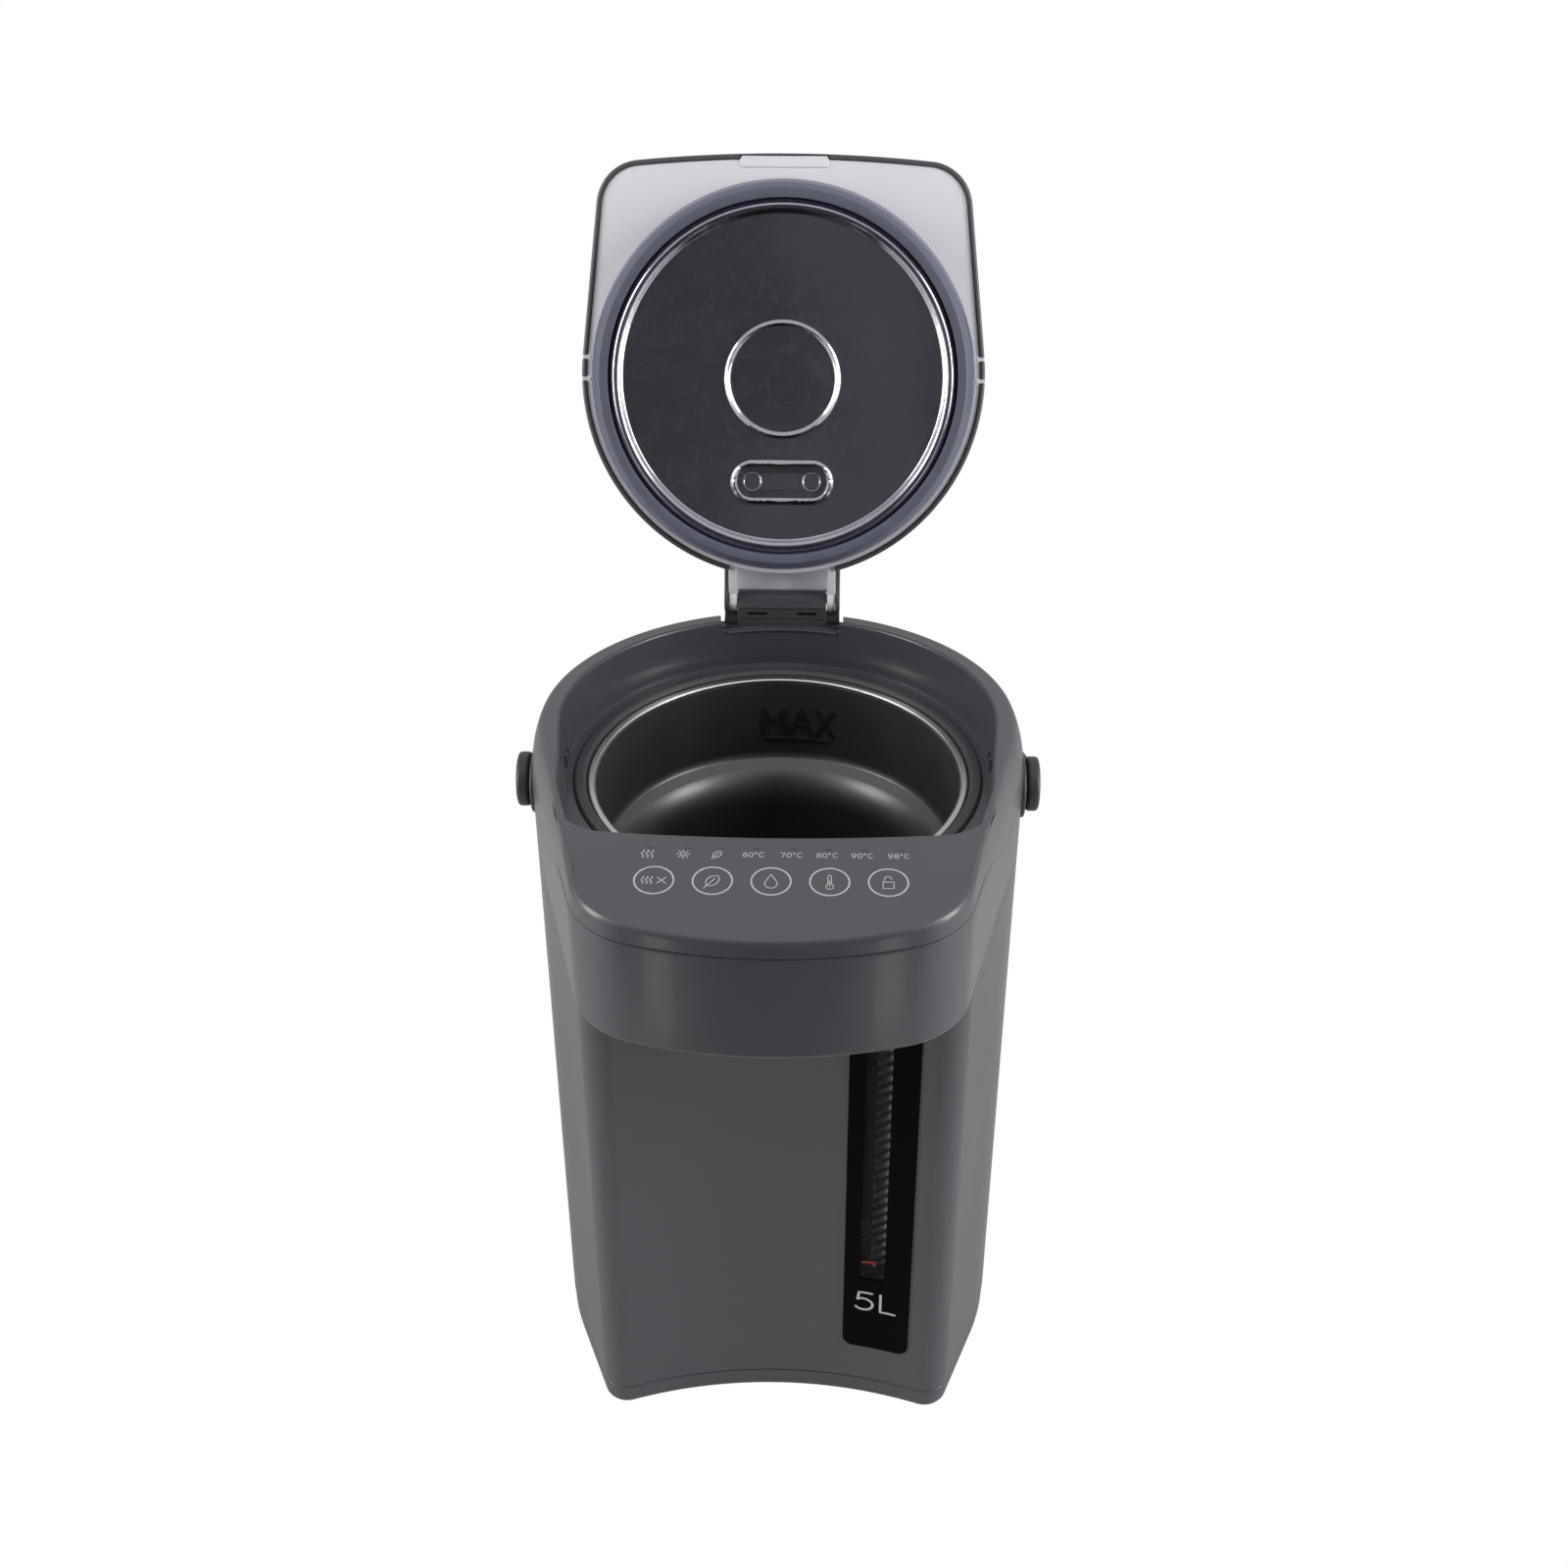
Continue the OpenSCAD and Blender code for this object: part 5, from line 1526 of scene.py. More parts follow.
@dataclass
class Lid:
    """The open lid: moulded shell, pale inner panel, ring, gasket, pressed steel plate and studs."""

    size: LidSize = LIDS
    rim: float = 1.1
    brow: float = 3.2
    stud_x: float = 13.8
    stud_y: float = 47.0
    ear_x: float = 25.9

    def _domed(self, plan: Rows, shares: Sequence[float], lower: float = 0.0) -> list[Rows]:
        """Rings on the lid's gently domed top.

        Args:
            plan: the outline that share 1 stands for.
            shares: how far out from the dome's middle each ring lies.
            lower: how far under the top.

        Returns:
            The rings.
        """
        middle = np.array([0, -2])
        plans = [middle + (plan - middle) * share for share in shares]
        return [ring(p, 370 - lower - (p[:, 0] ** 2 + (p[:, 1] + 40) ** 2) / 2400) for p in plans]

    def _shell_skin(self) -> Skin:
        """The outer cup: domed top, rolled edge, wall and rim."""
        low, inner = self.size.low, lid_plan(-2.2)
        rings = self._domed(lid_plan(-self.brow), (0.02, 0.12, 0.24, 0.36, 0.48, 0.6, 0.72, 0.82, 0.9, 0.95))
        brow = self._domed(lid_plan(-self.brow), (1,))[0][:, 2]
        rings += [ring(lid_plan(-self.brow * near), brow - self.brow * along)
                  for near, along in rounding(np.linspace(0, 90, 9))]
        top = rings[-1][:, 2]
        rings += [ring(lid_plan(0), top + (low + self.rim - top) * share) for share in (0.3, 0.6, 0.9)]
        rings += [ring(lid_plan(-self.rim * along), low + self.rim * near)
                  for near, along in rounding((0, 30, 60, 90))]
        rings += [ring(lid_plan(-1.9), low), ring(inner, low + 0.3)]
        rings += self._domed(inner, (1,), 2.6 + 2) + self._domed(inner, (0.8, 0.5, 0.2, 0.02), 2.6)
        return loft(rings[::-1], pointed=True)

    def _neck_skin(self) -> Skin:
        """The solid neck that bridges the collar, ending in the hinge's round knuckle."""
        top = [(77, 356), (77, 362), (80, 365.4), (84, 366.7), (90, 367), (96, 366.9),
               (101, 366.4)]
        outline = np.vstack([top, arc(LIDS.hinge, 6.8, 84, -118, 22), [[98.6, 356]]])[::-1]
        return slab(outline, -self.size.neck / 2, self.size.neck / 2, 0.5, "X")

    def _openings(self) -> list[Skin]:
        """Cutters: the room between the ears, the hinge's, the tab's and the lugs', and the steam vent's slots."""
        notches = sum(box((90, y - 1.3, 345), (97, y + 1.3, 351.2), 0.3, 0.05) for y in (-9, 1))
        return [box((-self.ear_x, 87, 345), (self.ear_x, 128, 364), 0.3, 0.02, "X"),
                slab(disc(9, 64, LIDS.hinge), -self.ear_x, self.ear_x, 0.02, "X"),
                box((-20.5, -99.6, 345), (20.5, -93, 351.5), 0.4, 0.05), notches.paired(),
                sum(box((i * 7 - 1.6, 56, 352), (i * 7 + 1.6, 70, 380), 1.55, 0.01) for i in range(-3, 4))]

    def _pressed(self, plan: Rows) -> Rows:
        """How far the plate's underside is pressed out towards the pot, over (x, y) rows.

        Args:
            plan: the rows.

        Returns:
            A depth for each.
        """
        x, y = plan.T
        radius = np.hypot(x, y)
        bump = 2.6 * np.clip(1 - (np.abs(radius - 77) / 3) ** 2.2, 0, 1)
        bump += 1.0 * np.exp(-((radius - 25.4) / 0.85) ** 2)
        oval = np.hypot(np.maximum(np.abs(x) - self.stud_x, 0), y - self.stud_y) - 8.8
        bump += 0.8 * np.exp(-(oval / 0.8) ** 2)
        return bump + 0.35 * np.clip(1 - (oval + 1) / -4, 0, 1) * (oval < 0)

    def _plate_skin(self) -> Skin:
        """The pressed plate as a fine polar height field with a folded edge."""
        around = circle(448)
        radii = np.hstack([np.linspace(1.5, 20, 8), np.arange(21.5, 31, 0.5), np.arange(31.5, 60, 0.55),
                                np.linspace(61, 71, 8), np.arange(72, 80.3, 0.45)])
        rings = [ring(around * radius, 332.2 - self._pressed(around * radius)) for radius in radii]
        rings += stack(lambda radius: around * radius,
                       ((80.4, 333), (80.4, 334.6), (81.6, 334.7), (81.6, 335.3), (79.6, 335.3), (79.6, 334),
                        (60, 333.4), (20, 333.4), (1.5, 333.4)))
        return loft(rings, pointed=True)

    def _panel_skin(self) -> Skin:
        """The pale inner panel with its tab, lugs, tongue and cheeks."""
        low, outer = self.size.panel, -2.35
        unit = lid_plan(outer) / np.linalg.norm(lid_plan(outer), axis=1, keepdims=True)
        rings = stack(lid_plan, ((outer - 0.5, low), (outer - 0.15, low + 0.15), (outer, low + 0.5), (outer, low + 2)))
        rings += stack(lambda radius: unit * radius, ((80, low + 2), (80, low + 0.4), (80.4, low)))
        edge = lid_plan(outer - 0.5)
        rings += [ring(unit * 80.4 * (1 - share) + edge * share, low) for share in (0.2, 0.4, 0.6, 0.8, 0.95)]
        tab = box((-20.2, -99.4, low - 0.6), (20.2, -94.4, low + 2), 1.2, 0.4)
        lugs = sum(box((90.2, y, low - 0.3), (93.9, y + 2, low + 2), 0.3, 0.3) for y in (-10, 0))
        tongue = np.vstack([
            [(86.6, 350.1), (89.4, 350.1), (90.2, 350.9), (90.2, 360.6), (91.2, 361.9), (99.8, 361.9)],
            arc(LIDS.hinge, 4.6, 150, 124, 6), arc(LIDS.hinge, 7, 124, 145, 6),
            [(99.2, 363.8), (89.6, 363.8), (88.4, 363.2), (88.2, 362), (88.2, 351), (86.6, 351)]])
        cheek = np.vstack([[(88.2, 363.8), (88.2, 350.1), (96.5, 350.1)],
                                arc(LIDS.hinge, 6.2, 52, -122, 26)[::-1], [(105, 363.8)]])
        return (loft(rings, closed=True) + tab + lugs.paired() + slab(tongue, -23, 23, 0.3, "X")
                + slab(cheek, 21.9, 25.7, 0.35, "X").paired())

    def build(self) -> None:
        """Makes the lid's pieces."""
        shell = bare("lid_shell_piece", self._shell_skin(), Seat.LID)
        carve(shell, self._neck_skin(), Seat.LID, join=True)
        for opening in self._openings():
            carve(shell, opening, Seat.LID)
        dress(shell, Look(Finish.SHELL, "lid_shell", "shell_grey", "lid", smooth=40))
        ring_profile = softened([(80.6, 331, 0.4), (82.9, 331, 0.2), (83.2, 330.4, 0.3), (85.2, 330.4, 0.8),
                                 (87.4, 333, 1.6), (88.7, 338, 3), (89.3, 344, 2), (89.4, 348.8, 0.3),
                                 (82, 348.8, 0.3), (82, 334.4, 0.3), (80.6, 334.4, 0.3)], 4)
        gasket = softened([(80.7, 328.8, 0.3), (82.2, 328.5, 0.5), (84.4, 328.5, 0.6), (85.3, 329.2, 0.4),
                           (85.3, 330.2, 0.3), (83, 330.2, 0.1), (83, 330.8, 0.1), (80.7, 330.8, 0.2)], 3)
        stud = revolve([(0.05, 331.3), (3.7, 331.3), (3.95, 331), (4.35, 331), (4.6, 331.4), (4.6, 332.1),
                        (4.1, 332.2), (4.1, 336), (3, 336), (3, 332.4), (0.05, 332.4)], 56, closed=False)
        studs = stud.moved(self.stud_x, self.stud_y, 0) + stud.moved(-self.stud_x, self.stud_y, 0)
        for name, skin, look in (
                ("lid_panel_piece", self._panel_skin(), Look(Finish.LIGHT, "lid_panel", "light_plastic", "lid")),
                ("lid_ring_piece", revolve(ring_profile, 256), Look(Finish.RING, "lid_ring", "ring_plastic", "lid")),
                ("lid_gasket_piece", revolve(gasket, 256), Look(Finish.GASKET, "lid_gasket", "silicone", "lid")),
                ("lid_plate_piece", self._plate_skin(),
                 Look(Finish.PLATE, "lid_plate", "lid_steel", "lid", smooth=50)),
                ("steam_stud_pair", studs, Look(Finish.PLATE, "steam_studs", "steel", "lid"))):
            piece(name, skin, look, Seat.LID)


# ---- pot


@dataclass
class Pot:
    """The coated steel pot, its bright rim and the seat ring round its mouth."""

    mouth_r: float = 82.3
    pot_r: float = 69.0
    rim_z: float = 328.0
    neck_z: float = 325.6
    shoulder_z: float = 284.0
    floor_z: float = 40.0
    sheet: float = 0.8

    def _profile(self, offset: float) -> Path:
        """The pot's wall from the middle of its floor to its neck, offset outwards.

        Args:
            offset: how far outwards.

        Returns:
            The profile.
        """
        corner = arc((self.pot_r - 9, self.floor_z + 9), 9 + offset, -90, 0, 12)
        shoulder = arc((self.pot_r + 22, self.shoulder_z - 20), 22 - offset, 180, 127.2, 16)
        neck = arc((self.mouth_r - 7 + offset, self.shoulder_z + 3.6), 7, -38, 0, 8)
        rows = [(r, self.floor_z - offset) for r in (2, 30, 50)] + list(map(tuple, corner))
        rows += [(self.pot_r + offset, z) for z in (self.floor_z + 60, 160, 230)] + list(map(tuple, shoulder))
        rows += [(r, z) for r, z in neck if r <= self.mouth_r + offset]
        return rows + [(self.mouth_r + offset, 300), (self.mouth_r + offset, 314)]

    def build(self) -> None:
        """Makes the pot, its rim and the seat ring."""
        mouth, rim, neck, sheet = self.mouth_r, self.rim_z, self.neck_z, self.sheet
        wall = self._profile(0) + [(mouth, neck), (mouth + sheet, neck)] + self._profile(sheet)[::-1]
        piece("pot_well", revolve(wall, 224, closed=False), Look(Finish.WELL, "inner_pot", "coating", smooth=50))
        # The raised MAX mark takes the darker coating: painted shade for its letters' shaded edges.
        pen = Pen(Ground.WELL, 2.3, 0.7)
        mark = pen.write("MAX", 8.6, 297.6, 13.8, 1.02) + pen.stroke([(-6.8, 294), (22.6, 294)])
        piece("full_mark", mark, Look(Finish.MARK))
        edge = softened([(mouth, neck), (mouth, rim - 0.6, 0.6), (mouth + 0.8, rim, 0.6), (mouth + 3, rim, 0.8),
                         (mouth + 3.7, rim - 1, 0.5), (mouth + 3.6, rim - 1.9, 0.2), (mouth + sheet, rim - 2, 0.2),
                         (mouth + sheet, neck)], 4)
        piece("pot_rim", revolve(edge, 256), Look(Finish.RIM_STEEL, slot="steel", smooth=60))
        seat = softened([(84, 323, 0.3), (94.6, 323, 0.3), (94.6, 326.3, 0.2), (92, 326.3, 0.2), (92, 329.2, 0.5),
                         (91, 330, 0.5), (88, 330, 0.9), (86.4, 328.6, 0.6), (86.3, 325.9, 0.2), (84, 325.9, 0.2)], 4)
        # The seat ring takes the shell plastic painted darker: painted shade.
        piece("seat_ring_piece", revolve(seat, 256), Look(Finish.SHELL_INSIDE, "seat_ring", "ring_plastic"))


# ---- handle


@dataclass
class Handle:
    """The folded bail with its grip, and the plates and pins that it turns on."""

    arm_x: float = 115.3
    thick: float = 5.8
    height: float = 14.0
    lobe_r: float = 12.4
    bend_r: float = 50.0
    reach: float = 134.0
    look: Look = Look(Finish.DARK, "bail", "dark_plastic", "bail")

    def _strap(self) -> Thing:
        """The flat strap, grown along a chain of vertices from pivot to pivot."""
        across, along = self.arm_x - self.bend_r, self.reach - self.bend_r
        side = straight(np.array([self.arm_x, 0]), np.array([self.arm_x, along]), 6)
        half = np.vstack([side, arc((across, along), self.bend_r, 0, 90, 28), [[across, self.reach]]])
        path = np.vstack([half, half[::-1] * [-1, 1]])
        mesh = bpy.data.meshes.new("bail_strap")
        mesh.from_pydata((ring(path, 0) * MM).tolist(), [(i, i + 1) for i in range(len(path) - 1)], [])
        chain = linked("bail_strap", mesh)
        strap_tree().apply(chain, Thickness=(self.thick - 0.4) * MM, Height=self.height * MM,
                           Finish=material(self.look.finish))
        y, z, degrees = Seat.BAIL.value
        there = Matrix.Translation((0, AXIS_Y * MM, 0)) @ Matrix.Translation((0, y * MM, z * MM))
        chain.data.transform(there @ Matrix.Rotation(radians(degrees), 4, "X"))
        return chain

    def build(self) -> None:
        """Makes the bail, its grip and its pivots."""
        y, z, _ = Seat.BAIL.value
        bail = self._strap()
        lobe = slab(disc(self.lobe_r, 96), self.arm_x - self.thick / 2, self.arm_x + self.thick / 2, 1.6, "X")
        absorb(bail, bare("lobes", lobe.paired().moved(0, y, z), Seat.BAIL))
        dress(bail, self.look)
        outline = np.vstack([arc((0, 6), 7.3, 0, 180, 24), arc((0, -6), 7.3, 180, 360, 24)])
        piece("bail_grip_piece", slab(outline, -44, 44, 2.2, "X").moved(0, y + self.reach, z),
              Look(Finish.DARK, "bail_grip", "dark_plastic", "bail"), Seat.BAIL)
        plate = slab(disc(14.6, 96), 107.2, 111.8, 1, "X").moved(0, y, z - 1)
        piece("pivot_plate_pair", plate.paired(), Look(Finish.DARK, "pivot_plates", "dark_plastic"))
        pin = revolve([(0.05, 104.6), (5.4, 104.6), (5.4, 106.8), (3, 106.9), (3, 116.4), (2.4, 117),
                       (0.05, 117)], 48, closed=False)
        pin.points = pin.points[:, [2, 1, 0]] * np.array([1, 1, -1])
        piece("pivot_pin_pair", pin.moved(0, y, z).paired(), Look(Finish.STEEL, "pivot_pins", "steel"))


# ---- water gauge


@dataclass
class Gauge:
    """The black gauge panel with its window, the tube behind it and what is printed on it."""

    x: float = 49.5
    half: float = 15.8
    low: float = 38.2
    high: float = 299.8
    slot_x: float = 47.0
    slot_half: float = 6.0
    slot_low: float = 87.0
    slot_high: float = 293.0
    face: float = 0.8

    def _plate(self, half: float, middle: float, low: float, high: float, corner: float, near: float,
               far: float) -> Skin:
        """A plate that follows the hollow front.

        Args:
            half: half its width.
            middle: its middle along X.
            low: its lower edge.
            high: its upper edge.
            corner: radius of its lower corners.
            near: how far in front of the body's surface its face lies.
            far: how far behind its back lies.

        Returns:
            The skin.
        """
        heights = [low + corner * (1 - cos(radians(a))) for a in range(0, 91, 10)]
        heights += list(np.linspace(low + corner, high - 0.4, 12)[1:]) + [high]
        rings = []
        for height in heights:
            drop = max(0, corner - (height - low))
            reach = half - (corner - sqrt(max(corner ** 2 - drop ** 2, 0)))
            edge, ease = (0.35, 0) if height < high else (0.7, 0.3)
            face = BODY.hollow_r - near
            sides = [(reach - 0.1, face + 0.1 + ease), (reach, face + 0.4), (reach, BODY.hollow_r + far)]
            rows = [(a, face + ease) for a in np.linspace(-reach + edge, reach - edge, 24)]
            across, radius = np.transpose(rows + sides + [(-a, r) for a, r in sides[::-1]])
            across = across + middle
            plan = np.stack([across, BODY.hollow_middle + np.sqrt(radius ** 2 - across ** 2)], 1)
            rings.append(ring(plan, height))
        return loft(rings)

    def build(self) -> None:
        """Makes the panel, its lens, the stripes, the tube and the print."""
        panel = bare("gauge_panel_piece", self._plate(self.half, self.x, self.low, self.high, 4.8, self.face, 1.3))
        carve(panel, box((self.slot_x - self.slot_half, -100, self.slot_low),
                         (self.slot_x + self.slot_half, -60, self.slot_high), 0.6, 0.02, "Y"))
        dress(panel, Look(Finish.GAUGE, "gauge_panel", "gauge_black", smooth=45))
        lens = self._plate(self.slot_half - 0.15, self.slot_x, self.slot_low + 0.15, self.slot_high - 0.15, 0.5,
                           0.3, 0.6)
        piece("gauge_lens_piece", lens, Look(Finish.GLASS, "gauge_lens", "gauge_glass"))
        figure = Pen(Ground.GAUGE, 1.35, 0.06).write("5L", 48.9, 65.5, 11.9, 1.22)
        piece("gauge_capacity_print", figure, Look(Finish.LABEL))
        mark = box((41.6, -78.3, 95.4), (48.8, -77.9, 96.6), 0.3, 0.1, "Y")
        pointer = slab([(46, 95.6), (48.9, 95), (48.9, 92.4)], -78.3, -77.9, 0.1, "Y")
        piece("low_water_mark", mark + pointer, Look(Finish.RED))
        wall = softened([(3.2, 48.3, 0.3), (3.2, 307.8, 0.3), (2.4, 307.8, 0.3), (2.4, 48.3, 0.3)], 3)
        piece("level_tube_piece", revolve(wall, 56).moved(self.x, -73.2, 0),
              Look(Finish.GLASS, "level_tube", "gauge_glass"))
        back = box((47, -69.8, 84), (57.5, -69, 292), 0.3, 0.1)
        side = box((56.5, -80.2, 84), (57.5, -69.6, 292), 0.3, 0.1)
        piece("striped_backing", back + side, Look(Finish.STRIPES, "gauge_stripes", "light_plastic"))


# ---- fittings


@dataclass
class Fittings:
    """Print on the control panel, the spout, the inlet and the hinge."""

    key_x: float = 22.8
    key_y: float = -129.0
    key_r: float = 7.75
    label_y: float = -115.0
    spout_y: float = -124.0
    lamp_step: float = 14.1

    def _print(self) -> None:
        """Draws the key rings, their pictograms, the labels and the small marks above them."""
        thick, thin, fine = (Pen(Ground.PANEL, width) for width in (0.75, 0.42, 0.36))
        rings = sum(thick.draw("ring", i * self.key_x, self.key_y, self.key_r) for i in range(-2, 3))
        signs = sum(thin.draw(picture, key * self.key_x + shift, self.key_y, size) for picture, key, shift, size in (
            ("steam", -2, -2.8, 4), ("cross", -2, 3, 4), ("leaf", -1, 0, 5.6), ("drop", 0, 0, 6.4),
            ("gauge", 1, 0, 6), ("lock", 2, 0, 5.6)))
        labels = sum(thin.draw(picture, x, self.label_y + 1.2, size) for picture, x, size in (
            ("steam", -49.2, 4.4), ("heat", -35, 4), ("leaf", -21.6, 3.6)))
        for text, x in (("60oC", -7.3), ("70oC", 7.7), ("80oC", 21.8), ("90oC", 35.6), ("98oC", 50)):
            labels += fine.write(text, x, self.label_y, 2.5, 1.25)
        dash = Pen(Ground.PANEL, 0.9, 0.03)
        lamps = sum(dash.stroke([(-48 + i * self.lamp_step + end, -110.2) for end in (-1.2, 1.2)]) for i in range(8))
        piece("key_rings_print", rings, Look(Finish.INK))
        piece("key_pictograms_print", signs, Look(Finish.INK))
        piece("temperature_print", labels, Look(Finish.INK))
        piece("lamp_windows", lamps, Look(Finish.DARK))

    def _spout(self) -> None:
        """Makes the cover under the beak and the nozzle that it holds."""
        front, rear = (plan[plan[:, 1] < -52.5] for plan in (cap_plan(2.8), hollow_plan(-0.25)))
        front = front[np.argsort(np.arctan2(front[:, 1] + 53, front[:, 0]))]
        rear = rear[np.argsort(rear[:, 0])][::-1]
        bulge = np.radians(np.linspace(-90 + 21, -90 - 21, 25))
        swell = np.column_stack([86.9 * np.cos(bulge), 86.9 * np.sin(bulge)])
        plan = np.vstack([front, rear[rear[:, 0] > 30], swell, rear[rear[:, 0] < -30]])
        at = (0, self.spout_y)
        cover = bare("spout_cover_piece", slab(plan, 301.6, 303.8, 0.3))
        carve(cover, slab(disc(14, 96, at), 298, 303, 1), join=True)
        carve(cover, slab(disc(9.7, 72, at), 290, 320, 0.01))
        # The spout cover takes the shell plastic painted darker: painted shade.
        dress(cover, Look(Finish.SHELL_INSIDE, "spout_cover", "shell_grey"))
        nozzle = softened([(5, 289, 0.6), (7.2, 289, 0.8), (8.4, 291, 0.8), (9.4, 300, 0.3), (9.4, 303.9, 0.1),
                           (12.5, 303.9, 0.3), (12.5, 306, 0.3), (5.8, 306, 0.2), (5.8, 304.6, 0.2),
                           (3.2, 304.6, 0.1), (3.2, 309, 0.2), (2.2, 309, 0.2), (2.2, 301, 0.4)], 4)
        piece("spout_nozzle_piece", revolve(nozzle, 96).moved(*at), Look(Finish.DARK, "spout_nozzle", "dark_plastic"))

    def _inlet(self) -> None:
        """Makes the rear power inlet and its three pins."""
        body = bare("power_inlet_piece", box((-19.7, 106, 23.3), (19.7, 108.4, 56.7), 3.8, 0.6, "Y"))
        carve(body, box((-16, 87.1, 27), (16, 107, 53), 3, 0.3, "Y"), join=True)
        carve(body, box((-13.5, 92, 30.25), (13.5, 115, 49.75), 2.5, 0.1, "Y"))
        dress(body, Look(Finish.DARK, "power_inlet", "dark_plastic", bevel=0.25))
        pins = sum(box((x - 1, 86, 38 + z), (x + 1, 104, 42 + z), 0.5, 0.6, "Y") for x, z in
                   ((-7, -2), (0, 2), (7, -2)))
        piece("inlet_pin_set", pins, Look(Finish.STEEL, "inlet_pins", "steel"))

    def _hinge(self) -> None:
        """Makes the ridged hinge block with its barrel and drain slots."""
        outline = np.vstack([arc(LIDS.hinge, 3.8, -20, 158, 24), [
            (101.4, 361.2), (99.2, 360.4), (97.2, 359.7), (97.2, 358.9), (97.9, 358.7), (97.9, 357.9), (97.2, 357.7),
            (97.2, 353.4), (97.8, 353.2), (97.8, 352.6), (97.2, 352.4), (97.2, 349), (110.4, 349),
            (110.4, 357.6)]])
        block = bare("hinge_block_piece", slab(outline, -21.5, 21.5, 0.35, "X"))
        foot = [(99.8, 349), (108, 349), (108, 352.6), (104.2, 352.6), (99.8, 350.8)]
        carve(block, slab(foot, -28, 28, 0.2, "X"), join=True)
        carve(block, sum(box((x - 5, 95, 355), (x + 5, 100, 357), 0.6, 0.02, "Y") for x in (-12, 12)))
        # The hinge block takes the shell plastic painted darker: painted shade.
        dress(block, Look(Finish.SHELL_INSIDE, "hinge_block", "dark_plastic", smooth=30))
        piece("hinge_pin_piece", slab(disc(2.5, 40, LIDS.hinge), -27.6, 27.6, 0.4, "X"),
              Look(Finish.STEEL, "hinge_pin", "steel"))

    def build(self) -> None:
        """Makes every fitting."""
        self._print()
        self._spout()
        self._inlet()
        self._hinge()


# ---- works inside


